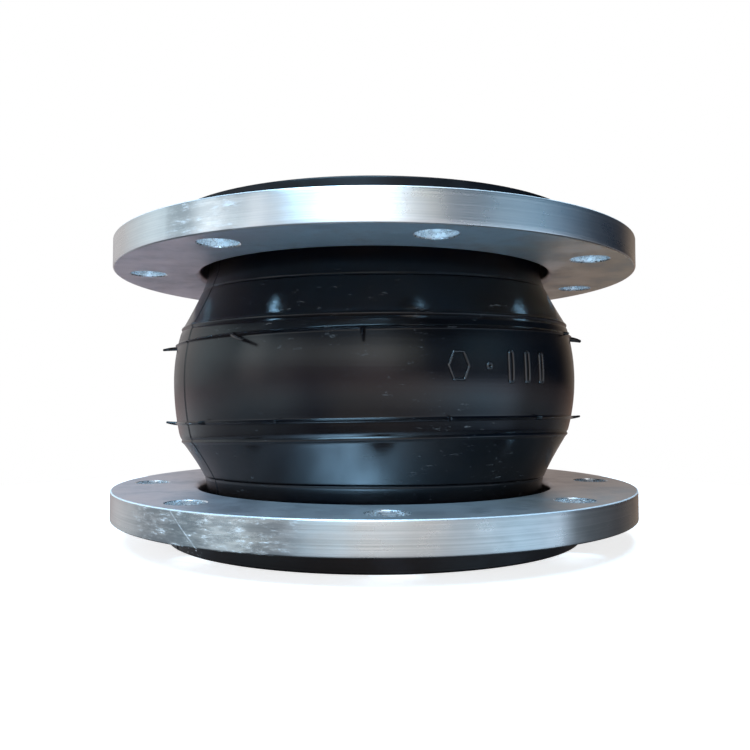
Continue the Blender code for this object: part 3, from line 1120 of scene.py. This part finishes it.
    def cover_belt(self) -> bpy.types.Object:
        """The cover between its two ribs, ribs' inner halves included."""
        azimuth = self.relief.columns(self.cover_columns, self.shape.equator_radius)
        fine = np.array([0.0, 0.3, 0.6, 0.9, 1.2, 1.6, 2.2, 3.0]) * MM
        lines = [
            line.height(azimuth)
            for line in (self.lower_rib, self.lower_flash, self.upper_flash, self.upper_rib)
        ]
        rows = [
            rows_between(low, high, fine, count)
            for low, high, count in zip(lines, lines[1:], (3, 26, 3))
        ]
        height = np.concatenate([rows[0], rows[1][1:], rows[2][1:]])
        lower = self.cover_radius(End.LOWER, height, azimuth)
        radius = np.where(height < MIDDLE, lower, self.cover_radius(End.UPPER, height, azimuth))
        inside = height[:: len(height) // 28]
        inside = np.concatenate([height[:1], inside[1:-1], height[-1:]])
        depth = self.ply_depths(4)[1] + self.clearance
        inner = self.shape.at_depth(inside - MIDDLE, depth)
        radius = np.concatenate([radius, inner[::-1]])
        height = np.concatenate([height, inside[::-1]])
        return turned_ring("outer_cover_belt", radius, height, azimuth, 48.0)

    def cover_shoulder(self, end: End) -> bpy.types.Object:
        """The cover from a rib down the neck and out as the back of the lip."""
        azimuth = self.relief.columns(self.cover_columns, self.shape.neck_radius)
        fine = np.array([0.0, 0.3, 0.6, 0.9, 1.2, 1.6, 2.2]) * MM
        rib = self.lower_rib if end is End.LOWER else self.upper_rib
        top, crease = (end.place(line.height(azimuth)) for line in (rib, self.neck_crease[end]))
        back = self.lip_height - self.clearance
        foot = np.full_like(azimuth, back + self.back_fillet)
        upper, lower = rows_between(crease, top, fine, 14), rows_between(foot, crease, fine, 8)
        outer = np.concatenate([lower, upper[1:]])
        radius = self.cover_radius(end, end.place(outer), azimuth)
        fillet = arc(
            (self.shape.neck_radius + self.back_fillet, back + self.back_fillet),
            self.back_fillet,
            270.0,
            180.0,
            6,
        )
        under = self.ply_depths(3)[1] + self.clearance
        inner_depth = self.ply_depths(4)[1] + self.clearance
        step = self.fourth_ply_end - self.clearance
        run = self.outer_turn(under)
        out = np.vstack([[self.layer_end_radius, run[-1, 1]], [self.layer_end_radius, back]])
        tail = np.vstack(
            [[[self.bore + inner_depth, step]], [[self.bore + under, step]], run, out, fillet[:-1]]
        )
        tail = refined(tail, self.path_step)
        level = np.linspace(0.0, 1.0, 24)[:, None]
        inside_height = top[None, :] + (step - top[None, :]) * level
        inside_radius = self.shape.at_depth(MIDDLE - inside_height, inner_depth)
        flat = np.ones_like(azimuth)
        all_radius = np.concatenate([inside_radius[:-1], tail[:, :1] * flat, radius])
        all_height = np.concatenate([inside_height[:-1], tail[:, 1:] * flat, outer])
        return turned_ring(
            f"outer_cover_{end.value}_shoulder", all_radius, end.place(all_height), azimuth, 48.0
        )

    def bend(self, piece: bpy.types.Object, band: Band) -> None:
        """Bakes a piece's placement into its mesh, the same for every band."""
        if band is Band.BELT:
            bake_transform(piece)
        elif band is Band.LOWER_SHOULDER:
            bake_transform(piece)
        else:
            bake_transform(piece)

    def build(self) -> None:
        """Builds every layer, finishes it and bakes its placement."""
        for layer in self.layers():
            for band in Band:
                piece = self.plain_band(layer, band)
                layer.finish.coat(piece)
                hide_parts(layer.node)
                self.bend(piece, band)
            log.info("layer %s in %d bands", layer.node, len(Band))
        cover = {
            Band.LOWER_SHOULDER: self.cover_shoulder(End.LOWER),
            Band.BELT: self.cover_belt(),
            Band.UPPER_SHOULDER: self.cover_shoulder(End.UPPER),
        }
        for band, piece in cover.items():
            MouldedRubber().coat(piece)
            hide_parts("outer_cover")
            self.bend(piece, band)
        log.info("outer cover with ribs, flash, creases and seams")


@dataclass(frozen=True)
class Nib:
    """A hair of rubber left by a vent of the mould."""

    azimuth: float
    length: float
    thickness: float
    droop: float
    sideways: float = 0.0


@dataclass
class MouldMarks:
    """Hairs of rubber on the two flash lines, and a raised mark on the belt.

    The raised mark is a plain maker's pattern of a hexagon, a pip and upright bars.
    """

    wall: Bellows
    upper_nibs: tuple[Nib, ...] = (
        Nib(-85.5, 0.0100, 0.0013, -0.001),
        Nib(-36.0, 0.0060, 0.0014, -0.004, 0.013),
        Nib(-2.5, 0.0075, 0.0014, -0.004),
        Nib(62.0, 0.0020, 0.0011, 0.0),
        Nib(84.0, 0.0072, 0.0017, -0.0015),
        Nib(138.0, 0.0080, 0.0013, -0.002),
        Nib(176.0, 0.0060, 0.0013, -0.003),
        Nib(-131.0, 0.0095, 0.0014, -0.002),
    )
    lower_nibs: tuple[Nib, ...] = (
        Nib(-89.0, 0.0095, 0.0013, 0.001),
        Nib(-47.5, 0.0030, 0.0012, 0.0),
        Nib(-23.0, 0.0026, 0.0012, 0.0, 0.001),
        Nib(17.5, 0.0022, 0.0014, 0.0),
        Nib(44.5, 0.0022, 0.0013, 0.0),
        Nib(91.0, 0.0095, 0.0012, 0.001),
        Nib(133.0, 0.0070, 0.0013, 0.001),
        Nib(171.0, 0.0085, 0.0013, -0.001),
        Nib(-137.0, 0.0060, 0.0012, 0.0),
    )
    mark_finish: Finish = MouldedRubber("raised_mark_rubber", smooth=0.2, dull=0.3, shine=1.0)
    stroke: float = 0.0008
    proud: float = 0.0001
    root: float = 0.0016
    taper: float = 0.45
    mark_middle: float = 0.1045
    mark_height: float = 0.0165
    steps: int = 12

    def nib_arrays(
        self, nibs: tuple[Nib, ...], line: LineAround, end: End
    ) -> tuple[np.ndarray, np.ndarray, np.ndarray]:
        """Paths, radii and cross directions of one line's hairs.

        A hair runs straight out from just under the surface. Its tip drops and moves sideways
        with the square of the way along, and it thins towards the tip.
        """
        azimuth = np.radians([nib.azimuth for nib in nibs])
        values = np.array([[nib.length, nib.thickness, nib.droop, nib.sideways] for nib in nibs])
        height = line.height(azimuth)
        foot = self.wall.cover_radius(end, height[None, :], azimuth)[0] - self.root
        t = np.linspace(0.0, 1.0, self.steps)[None, :]
        outwards = foot[:, None] + (values[:, :1] + self.root) * t
        turn = azimuth[:, None] + values[:, 3:] * t**2 / self.wall.shape.equator_radius
        paths = around(outwards, height[:, None] + values[:, 2:3] * t**2, turn)
        radii = values[:, 1:2] * (1.0 - self.taper * t**2)
        across = np.broadcast_to(np.array([0.0, 0.0, 1.0]), paths.shape)
        return paths, radii, across

    def nibs(self) -> bpy.types.Object:
        """All the hairs in one piece."""
        upper = self.nib_arrays(self.upper_nibs, self.wall.upper_flash, End.UPPER)
        lower = self.nib_arrays(self.lower_nibs, self.wall.lower_flash, End.LOWER)
        paths, radii, across = (np.concatenate(pair) for pair in zip(upper, lower))
        return tubes("vent_hairs", paths, radii, across, 12, False)

    def outline_paths(self) -> np.ndarray:
        """The mark's closed strokes as (stroke, step, azimuth and height).

        A stroke is a smooth closed curve: its two coordinates are rounded powers of the cosine
        and sine of a full turn, which draw anything from a circle to a box.
        """
        turn = np.linspace(0.0, TURN, 60, endpoint=False)
        hexagon = np.cos(math.pi / 6) / np.cos(np.mod(turn, math.pi / 3) - math.pi / 6)
        half = self.mark_height / 2
        shapes = [(19.5, 0.0058, half, hexagon)]
        bar = 1.0 / np.maximum(np.abs(np.cos(turn)), np.abs(np.sin(turn))) ** 0.7
        shapes += [(at, 0.0016, half, bar) for at in (34.0, 39.5, 45.0)]
        shapes += [(27.5, 0.0014, 0.0014, np.ones_like(turn))]
        radius = self.wall.shape.equator_radius
        strokes = [
            np.stack(
                [
                    math.radians(at) + wide * size * np.cos(turn) / radius,
                    self.mark_middle + tall * size * np.sin(turn),
                ],
                -1,
            )
            for at, wide, tall, size in shapes
        ]
        return np.stack(strokes)

    def mark(self) -> bpy.types.Object:
        """The raised strokes: half-sunk tubes that follow the belt's surface."""
        plan = self.outline_paths()
        azimuth, height = plan[..., 0], plan[..., 1]
        surface = self.wall.shape.radius(height - MIDDLE)
        paths = around(surface + self.proud, height, azimuth)
        outwards = around(np.ones_like(azimuth), np.zeros_like(azimuth), azimuth)
        radii = np.full(azimuth.shape, self.stroke)
        return tubes("raised_size_mark", paths, radii, outwards, 10, True)

    def build(self) -> None:
        """Builds the hairs and the mark, and bakes their placement."""
        for piece, finish in ((self.nibs(), MouldedRubber()), (self.mark(), self.mark_finish)):
            finish.coat(piece)
            self.wall.bend(piece, Band.BELT)
            log.info("%s on the belt", piece.name)


# ---- the ends ------------------------------------------------------------------------------------
@dataclass
class EndRings:
    """The sealing lip of one end, with its wire ring, cord wrap and filler inside."""

    end: End
    wall: Bellows
    lip_radius: float = 0.134
    rim_width: float = 0.005
    lip_edge: float = 0.0012
    wire_circle: float = 0.1215
    wire_height: float = 0.0084
    hexagon: float = 0.0027
    wrap_gap: float = 0.00036
    wrap_thickness: float = 0.0007
    wire_pitch: float = 0.00107
    wire_radius: float = 0.00052
    filler_top: float = 0.0145
    columns: int = 256
    wire_steps: int = 144
    split_share: float = 2.2

    def even(self, name: str, section: np.ndarray) -> bpy.types.Object:
        """A ring with the same section all round."""
        azimuth = np.linspace(-math.pi, math.pi, self.columns, endpoint=False)
        ones = np.ones_like(azimuth)
        return turned_ring(
            f"{self.end.value}_{name}",
            section[:, :1] * ones,
            self.end.place(section[:, 1:]) * ones,
            azimuth,
        )

    def lip(self) -> bpy.types.Object:
        """The lip: its sealing face and its rim, rounded, with the mould's split on the rim."""
        back = self.wall.lip_height - self.wall.clearance
        inside = self.lip_radius - self.rim_width
        bore, face = self.wall.bore, self.wall.lip_face
        corners = [
            (bore, 0.0),
            (self.lip_radius, 0.0),
            (self.lip_radius, back),
            (inside, back),
            (inside, face),
            (bore, face),
        ]
        section = rounded(corners, self.lip_edge, 5)
        seams = self.wall.relief
        azimuth = seams.columns(self.columns, self.lip_radius)
        on_rim = np.interp(section[:, 0], [self.lip_radius - 0.0008, self.lip_radius], [0.0, 1.0])
        split = self.split_share * on_rim[:, None] * seams.seam(azimuth, self.lip_radius)[None, :]
        radius = section[:, :1] + split
        height = self.end.place(section[:, 1:]) * np.ones_like(azimuth)
        return turned_ring(f"{self.end.value}_lip_ring", radius, height, azimuth)

    def wires(self) -> bpy.types.Object:
        """Nineteen wires packed in a hexagon: each is a circle carried round the pipe's axis."""
        side = np.arange(-2, 3)
        first, second = (grid.ravel() for grid in np.meshgrid(side, side))
        keep = np.abs(first + second) <= 2
        first, second = first[keep], second[keep]
        out = self.wire_circle + self.wire_pitch * (first + 0.5 * second)
        up = self.wire_height + self.wire_pitch * math.sqrt(0.75) * second
        azimuth = np.linspace(0.0, TURN, self.wire_steps, endpoint=False)[None, :]
        paths = around(out[:, None], self.end.place(up)[:, None], azimuth)
        across = np.broadcast_to(np.array([0.0, 0.0, 1.0]), paths.shape)
        return tubes(
            f"{self.end.value}_wire_bundle",
            paths,
            np.full(paths.shape[:2], self.wire_radius),
            across,
            8,
            True,
        )

    def wrap_section(self) -> np.ndarray:
        """A strip round the hexagon of wires, open on the side away from the pipe."""
        centre = (self.wire_circle, self.wire_height)
        inner = self.hexagon + self.wrap_gap
        inside = arc(centre, inner, 60.0, 300.0, 4)
        outside = arc(centre, inner + self.wrap_thickness, 60.0, 300.0, 4)
        return np.vstack([inside, outside[::-1]])

    def filler_section(self) -> np.ndarray:
        """The wedge of rubber between the second ply, the third ply and the wrap."""
        wall = self.wall
        near = wall.ply_depths(2)[1] + wall.clearance
        far = wall.ply_depths(3)[0] - wall.clearance
        low = wall.inner_turn(near)
        bend = wall.outer_bend - far
        tip = 180.0 + math.degrees(math.asin((wall.outer_bend_height - self.filler_top) / bend))
        high = arc((wall.bore + wall.outer_bend, wall.outer_bend_height), bend, 270.0, tip, 8)
        corner = self.wire_circle - self.hexagon - 2 * self.wrap_gap - self.wrap_thickness
        slope = math.tan(math.radians(60.0))
        floor, roof = low[-1, 1], high[0, 1]
        hollow = [
            (corner + (self.wire_height - floor) / slope, floor),
            (corner, self.wire_height),
            (corner + (roof - self.wire_height) / slope, roof),
        ]
        return np.vstack([[(wall.bore + near, self.filler_top)], low, hollow, high])

    def build(self) -> None:
        """Builds the four rings of this end."""
        rings = {
            "sealing_lip": (self.lip(), LipRubber()),
            "bead_ring": (self.wires(), BeadWire()),
            "bead_wrap": (self.even("cord_wrap", self.wrap_section()), NylonCord()),
            "bead_filler": (self.even("rubber_wedge", self.filler_section()), FillerRubber()),
        }
        for node, (piece, finish) in rings.items():
            finish.coat(piece)
            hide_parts(f"{self.end.value}_{node}")
            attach(piece, self.end.lip_body)
        log.info("%s lip with wire ring, wrap and filler", self.end.value)


@dataclass
class FloatingFlange:
    """A loose steel flange with eight drilled holes, as one closed surface.

    Each eighth of the plate is a grid between a bolt hole and the edge of its own sector: a
    point lies on the straight line from the hole's edge to the sector's edge. The rim and the
    bore are profiles carried round the axis. The patches are then joined where they meet.
    """

    end: End
    first_hole: float
    rim: TurnedZinc
    face: PlatedFace
    radius: float = 0.168
    thickness: float = 0.0175
    lip_height: float = 0.015
    bore_radius: float = 0.115
    bore_round: float = 0.0035
    bore_chamfer: float = 0.003
    rim_edge: float = 0.0008
    bolt_circle: float = 0.1475
    hole_radius: float = 0.011
    hole_chamfer: float = 0.0006
    holes: int = 8
    arc_steps: int = 48
    side_steps: int = 16
    spread: int = 7

    def sector_edge(self, inner: float, outer: float) -> np.ndarray:
        """A sector's edge in its own frame, counterclockwise, with the hole towards +X."""
        half = math.pi / self.holes
        across = np.linspace(-half, half, self.arc_steps + 1)[:-1]
        inwards = np.linspace(outer, inner, self.side_steps + 1)[:-1]
        outwards = np.linspace(inner, outer, self.side_steps + 1)[:-1]
        ends = [np.full(self.arc_steps, reach) for reach in (outer, inner)]
        radius = np.concatenate([ends[0], inwards, ends[1], outwards])
        angle = np.concatenate(
            [across, np.full(self.side_steps, half), -across, np.full(self.side_steps, -half)]
        )
        return np.stack([radius * np.cos(angle), radius * np.sin(angle)], -1)

    def plate(self, low: float, high: float) -> np.ndarray:
        """Both faces and the hole wall of one sector, as (row, step, 3) from below upwards.

        Args:
            low: Height of the face towards the lip.
            high: Height of the face towards the sphere.

        Returns:
            Coordinates in the sector's own frame.
        """
        under = self.sector_edge(self.bore_radius + self.bore_chamfer, self.radius - self.rim_edge)
        over = self.sector_edge(self.bore_radius + self.bore_round, self.radius - self.rim_edge)
        centre = np.array([self.bolt_circle, 0.0])
        way = over - centre
        way = way / np.linalg.norm(way, axis=1, keepdims=True)
        share = np.linspace(0.0, 1.0, self.spread + 1)[:, None, None] ** 1.5
        lip = centre + way * (self.hole_radius + self.hole_chamfer)
        bottom = (lip + (under - lip) * share)[::-1]
        top = lip + (over - lip) * share
        chamfer = self.hole_chamfer
        wall_heights = np.array([low + chamfer, low + self.thickness / 2, high - chamfer])
        wall = np.broadcast_to(centre + way * self.hole_radius, (3, *way.shape))
        flat = np.concatenate([bottom, wall, top])
        height = np.concatenate([np.full(len(bottom), low), wall_heights, np.full(len(top), high)])
        return np.concatenate(
            [flat, np.broadcast_to(height[:, None, None], (*flat.shape[:2], 1))], axis=2
        )

    def carried(self, profile: np.ndarray) -> np.ndarray:
        """A profile of (radius, height) carried round the axis, in step with the sectors."""
        count = self.holes * self.arc_steps
        angle = -math.pi / self.holes + np.arange(count) * TURN / count
        ring = np.stack([np.cos(angle), np.sin(angle)], -1)
        flat = profile[:, :1, None] * ring[None]
        return np.concatenate(
            [flat, np.broadcast_to(profile[:, 1][:, None, None], (*flat.shape[:2], 1))], axis=2
        )

    def profiles(self, low: float, high: float) -> tuple[np.ndarray, np.ndarray]:
        """The rim from the upper face down, and the bore from the lower face up."""
        edge = self.rim_edge
        upper = arc((self.radius - edge, high - edge), edge, 90.0, 0.0, 4)
        lower = arc((self.radius - edge, low + edge), edge, 0.0, -90.0, 4)
        middle = np.stack(
            [np.full(7, self.radius), np.linspace(high - edge, low + edge, 9)[1:-1]], -1
        )
        chamfer = np.array(
            [
                [self.bore_radius + self.bore_chamfer, low],
                [self.bore_radius, low + self.bore_chamfer],
            ]
        )
        rounding = arc(
            (self.bore_radius + self.bore_round, high - self.bore_round),
            self.bore_round,
            180.0,
            90.0,
            9,
        )
        return np.vstack([upper, middle, lower]), np.vstack([chamfer, rounding])

    def piece(self) -> bpy.types.Object:
        """Joins the patches into one closed mesh with a finish for rim, faces and holes."""
        low, high = self.lip_height, self.lip_height + self.thickness
        plate = self.plate(low, high)
        rows, steps, _ = plate.shape
        turn = np.arange(self.holes) * TURN / self.holes
        spin = np.stack(
            [
                np.stack([np.cos(turn), -np.sin(turn)], -1),
                np.stack([np.sin(turn), np.cos(turn)], -1),
            ],
            1,
        )
        flat = np.einsum("kab,rsb->krsa", spin, plate[..., :2])
        sectors = np.concatenate(
            [flat, np.broadcast_to(plate[None, ..., 2:], (*flat.shape[:3], 1))], axis=3
        )
        one = patch_quads(rows, steps, False, True)
        plates = (one[None] + (np.arange(self.holes) * rows * steps)[:, None, None]).reshape(-1, 4)
        in_hole = np.zeros(rows - 1, bool)
        in_hole[self.spread : self.spread + 4] = True
        plate_kind = np.tile(np.repeat(np.where(in_hole, 2, 1), steps), self.holes)
        rim, bore = (self.carried(profile) for profile in self.profiles(low, high))
        points, faces, kinds = [sectors.reshape(-1, 3)], [plates], [plate_kind]
        for patch, kind in ((rim, 0), (bore, 1)):
            offset = sum(len(group) for group in points)
            faces.append(patch_quads(len(patch), patch.shape[1], False, True) + offset)
            kinds.append(np.full(len(faces[-1]), kind))
            points.append(patch.reshape(-1, 3))
        cloud = np.concatenate(points)
        _, first, same = np.unique(
            (cloud / 1e-6).round().astype(np.int64), axis=0, return_index=True, return_inverse=True
        )
        quads = same.reshape(-1)[np.concatenate(faces)]
        joined = cloud[first]
        start = math.radians(self.first_hole) - math.pi / 2
        place = np.stack(
            [
                joined[:, 0] * math.cos(start) - joined[:, 1] * math.sin(start),
                joined[:, 0] * math.sin(start) + joined[:, 1] * math.cos(start),
                self.end.place(joined[:, 2]),
            ],
            -1,
        )
        if self.end is End.UPPER:
            quads = quads[:, ::-1]
        obj = put_mesh(f"{self.end.value}_floating_flange", place, [quads], 30.0)
        obj.data.polygons.foreach_set("material_index", np.concatenate(kinds).astype(np.int32))
        self.map_rim(obj)
        return obj

    def map_rim(self, obj: bpy.types.Object) -> None:
        """Gives the piece a UV map that runs with the azimuth and with the height."""
        mesh = obj.data
        place = np.empty(len(mesh.vertices) * 3, np.float32)
        mesh.vertices.foreach_get("co", place)
        corner = np.empty(len(mesh.loops), np.int32)
        mesh.loops.foreach_get("vertex_index", corner)
        x, y, z = place.reshape(-1, 3)[corner].T
        turn = (np.arctan2(x, -y) / TURN).reshape(-1, 4)
        turn = turn + (turn < turn.max(axis=1, keepdims=True) - 0.5)
        layer = mesh.uv_layers.new(name="wrap")
        layer.data.foreach_set(
            "uv", np.stack([turn.ravel(), z / LENGTH], -1).astype(np.float32).ravel()
        )

    def build(self) -> None:
        """Builds the flange, which turns with its own body."""
        piece = self.piece()
        for finish in (self.rim, self.face, DrilledSteel()):
            piece.data.materials.append(finish.material())
        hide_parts(f"{self.end.value}_flange")
        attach(piece, self.end.flange_body)
        log.info("%s flange with %d holes", self.end.value, self.holes)


# ---- the studio ----------------------------------------------------------------------------------
@dataclass(frozen=True)
class SoftBox:
    """A soft light that points at the joint."""

    name: str
    azimuth: float
    elevation: float
    distance: float
    width: float
    height: float
    radiance: float
    tint: Colour

    def build(self) -> None:
        """Hangs the light at its bearing and height, turned to the joint's middle."""
        data = bpy.data.lights.new(self.name, "AREA")
        data.shape = "RECTANGLE"
        data.size, data.size_y = self.width, self.height
        data.energy = self.radiance * math.pi * self.width * self.height
        data.color = self.tint
        side, rise = math.radians(self.azimuth), math.radians(self.elevation)
        away = Vector(
            (math.sin(side) * math.cos(rise), -math.cos(side) * math.cos(rise), math.sin(rise))
        )
        middle = Vector((0.0, 0.0, MIDDLE))
        light = bpy.data.objects.new(self.name, data)
        light.location = middle + away * self.distance
        light.rotation_euler = away.to_track_quat("Z", "Y").to_euler()
        bpy.context.scene.collection.objects.link(light)


@dataclass
class Studio:
    """A pale floor, a soft room to reflect, soft lights and the camera."""

    camera_place: tuple[float, float, float] = (0.0005, -0.5089, 0.0852)
    camera_pitch: float = 0.037
    lens: float = 36.1
    floor_radius: float = 0.46
    floor_height: float = -0.0002
    backdrop: float = 1.0
    room: tuple[tuple[float, Colour], ...] = (
        (-180.0, (0.55, 0.52, 0.53)),
        (-130.0, (0.62, 0.60, 0.60)),
        (-104.0, (0.85, 1.02, 1.10)),
        (-88.0, (0.85, 1.05, 1.15)),
        (-82.0, (0.38, 0.58, 0.70)),
        (-73.0, (2.1, 2.4, 2.5)),
        (-63.0, (2.1, 2.3, 2.4)),
        (-58.0, (0.85, 1.15, 1.28)),
        (-50.0, (1.35, 1.45, 1.5)),
        (-34.0, (0.95, 0.99, 0.98)),
        (-14.0, (1.3, 1.34, 1.32)),
        (-4.0, (1.9, 1.95, 1.95)),
        (8.0, (1.9, 1.95, 1.92)),
        (15.0, (1.1, 1.15, 1.1)),
        (23.0, (0.85, 0.90, 0.84)),
        (29.0, (0.25, 0.32, 0.38)),
        (44.0, (0.19, 0.27, 0.34)),
        (53.0, (0.25, 0.45, 0.60)),
        (68.0, (0.24, 0.46, 0.64)),
        (82.0, (0.08, 0.19, 0.31)),
        (100.0, (0.03, 0.05, 0.08)),
        (126.0, (0.015, 0.02, 0.03)),
        (146.0, (0.28, 0.22, 0.17)),
        (180.0, (0.55, 0.52, 0.53)),
    )
    front_levels: tuple[tuple[float, Colour], ...] = (
        (0.00, (0.52, 0.41, 0.42)),
        (0.10, (0.50, 0.42, 0.42)),
        (0.17, (0.85, 0.82, 0.82)),
        (0.22, (1.0, 1.0, 1.0)),
        (0.34, (0.90, 0.92, 0.93)),
        (0.45, (0.12, 0.14, 0.17)),
        (1.00, (0.10, 0.11, 0.13)),
    )
    back_levels: tuple[tuple[float, Colour], ...] = (
        (0.00, (0.75, 0.74, 0.75)),
        (0.20, (1.0, 1.0, 1.0)),
        (0.40, (0.8, 0.8, 0.8)),
        (1.00, (0.15, 0.16, 0.18)),
    )
    ground: tuple[tuple[float, Colour], ...] = (
        (-180.0, (0.42, 0.39, 0.42)),
        (-150.0, (0.50, 0.50, 0.52)),
        (-131.0, (0.75, 0.80, 0.85)),
        (-93.0, (0.57, 0.65, 0.75)),
        (-78.0, (0.60, 0.80, 0.95)),
        (-52.0, (1.0, 1.2, 1.32)),
        (-33.0, (0.56, 0.62, 0.71)),
        (-14.0, (1.0, 1.02, 1.02)),
        (0.0, (1.12, 1.10, 1.08)),
        (22.0, (1.20, 1.24, 1.30)),
        (40.0, (1.20, 1.52, 1.80)),
        (60.0, (1.15, 1.68, 2.15)),
        (76.0, (1.15, 1.52, 1.90)),
        (90.0, (0.32, 0.38, 0.44)),
        (118.0, (0.14, 0.15, 0.17)),
        (150.0, (0.32, 0.27, 0.22)),
        (180.0, (0.42, 0.39, 0.42)),
    )
    ground_levels: tuple[tuple[float, Colour], ...] = (
        (-1.00, (0.03, 0.03, 0.03)),
        (-0.50, (0.08, 0.08, 0.09)),
        (-0.34, (0.45, 0.44, 0.46)),
        (-0.17, (1.0, 1.0, 1.0)),
        (-0.08, (1.0, 0.84, 0.82)),
        (0.00, (0.70, 0.54, 0.53)),
    )
    boxes: tuple[SoftBox, ...] = (
        SoftBox("front_soft_box", -16.0, 50.0, 1.5, 0.86, 0.42, 36.0, (0.37, 0.70, 1.0)),
        SoftBox("overhead_soft_box", 0.0, 88.0, 2.4, 1.7, 1.7, 2.6, (1.0, 0.98, 0.95)),
    )

    def floor(self) -> None:
        """A round white floor: rings of points at rising distances from the pipe's axis."""
        azimuth = np.linspace(0.0, TURN, 96, endpoint=False)[None, :]
        reach = np.linspace(0.0, 1.0, 12)[1:, None] * self.floor_radius
        rings = around(reach, np.full_like(reach, self.floor_height), azimuth)
        rows, columns, _ = rings.shape
        middle = np.array([[0.0, 0.0, self.floor_height]])
        side = np.arange(columns)
        fan = np.stack([side, (side + 1) % columns, np.full(columns, rows * columns)], -1)
        quads = patch_quads(rows, columns, False, True)
        piece = put_mesh(
            "studio_floor", np.concatenate([rings.reshape(-1, 3), middle]), [quads, fan], 30.0
        )
        piece.data.materials.append(FloorPaint().material())
        piece.visible_glossy = False

    def world(self) -> None:
        """The room: colours by bearing times shares by height, and a plain white backdrop.

        What the camera sees directly is the white backdrop. What lights and mirrors see is the
        room.
        """
        world = bpy.data.worlds.new("studio_room")
        world.use_nodes = True
        nodes = Nodes(world.node_tree)
        nodes.tree.nodes.clear()
        place = nodes.node("ShaderNodeTexCoord").outputs["Generated"]
        right, behind, up = nodes.node("ShaderNodeSeparateXYZ", {0: place}).outputs
        bearing = nodes.math("ARCTAN2", right, nodes.times(behind, -1.0))
        bearing = nodes.plus(nodes.math("DIVIDE", bearing, TURN), 0.5)
        level = nodes.times(nodes.plus(up, 1.0), 0.5)
        walls, ground = (
            nodes.ramp(bearing, [(at / 360.0 + 0.5, colour) for at, colour in stops])
            for stops in (self.room, self.ground)
        )
        front, back, under = (
            nodes.ramp(level, [((at + 1.0) / 2, colour) for at, colour in levels])
            for levels in (self.front_levels, self.back_levels, self.ground_levels)
        )
        heights = nodes.mix(nodes.rise(behind, -0.25, 0.35), front, back)
        above = nodes.mix(1.0, walls, heights, "MULTIPLY")
        below = nodes.mix(1.0, ground, under, "MULTIPLY")
        colour = nodes.mix(nodes.rise(up, -0.02, 0.01), below, above)
        room = nodes.node("ShaderNodeBackground", {0: colour}).outputs[0]
        white = {0: (1.0, 1.0, 1.0, 1.0), 1: self.backdrop}
        backdrop = nodes.node("ShaderNodeBackground", white).outputs[0]
        seen = nodes.node("ShaderNodeLightPath").outputs["Is Camera Ray"]
        choice = nodes.node("ShaderNodeMixShader", {0: seen, 1: room, 2: backdrop})
        nodes.node("ShaderNodeOutputWorld", {0: choice.outputs[0]})
        bpy.context.scene.world = world

    def camera(self) -> None:
        """A level camera just below mid height, tipped up a little."""
        data = bpy.data.cameras.new("front_camera")
        data.lens, data.sensor_width = self.lens, 36.0
        camera = bpy.data.objects.new("front_camera", data)
        camera.location = self.camera_place
        camera.rotation_euler = (math.pi / 2 + self.camera_pitch, 0.0, 0.0)
        bpy.context.scene.collection.objects.link(camera)
        bpy.context.scene.camera = camera

    def build(self) -> None:
        """Sets the whole studio up."""
        bpy.context.scene.view_settings.view_transform = "Standard"
        self.camera()
        self.floor()
        self.world()
        for box in self.boxes:
            box.build()
        log.info("studio with %d soft boxes", len(self.boxes))


def main() -> None:
    """Builds the studio, the wall, its mould marks, both ends and both flanges."""
    logging.basicConfig(level=logging.INFO, format="%(message)s")
    Studio().build()
    wall = Bellows()
    wall.build()
    MouldMarks(wall).build()
    for end in End:
        EndRings(end, wall).build()
    lower_rim = TurnedZinc(
        "lower_rim_zinc",
        (0.77, 0.80, 0.79),
        (0.61, 0.65, 0.64),
        LOWER_RIM_PAINTED_REFLECTION,
        -47.0,
        -13.0,
        0.0325,
        scratch_strength=0.6,
    )
    upper_rim = TurnedZinc(
        "upper_rim_zinc",
        (0.90, 0.91, 0.91),
        (0.78, 0.80, 0.81),
        UPPER_RIM_PAINTED_REFLECTION,
        -39.0,
        -22.0,
        LENGTH - 0.015,
        stain=0.22,
    )
    lower_face = PlatedFace(
        "lower_face_zinc", (0.66, 0.62, 0.66), (0.70, 0.69, 0.71), (0.58, 0.51, 0.47)
    )
    upper_face = PlatedFace(
        "upper_face_zinc", (0.62, 0.56, 0.62), (0.56, 0.72, 0.84), (0.60, 0.50, 0.38)
    )
    FloatingFlange(End.LOWER, 2.5, lower_rim, lower_face).build()
    FloatingFlange(End.UPPER, 12.0, upper_rim, upper_face).build()


if __name__ == "__main__":
    main()
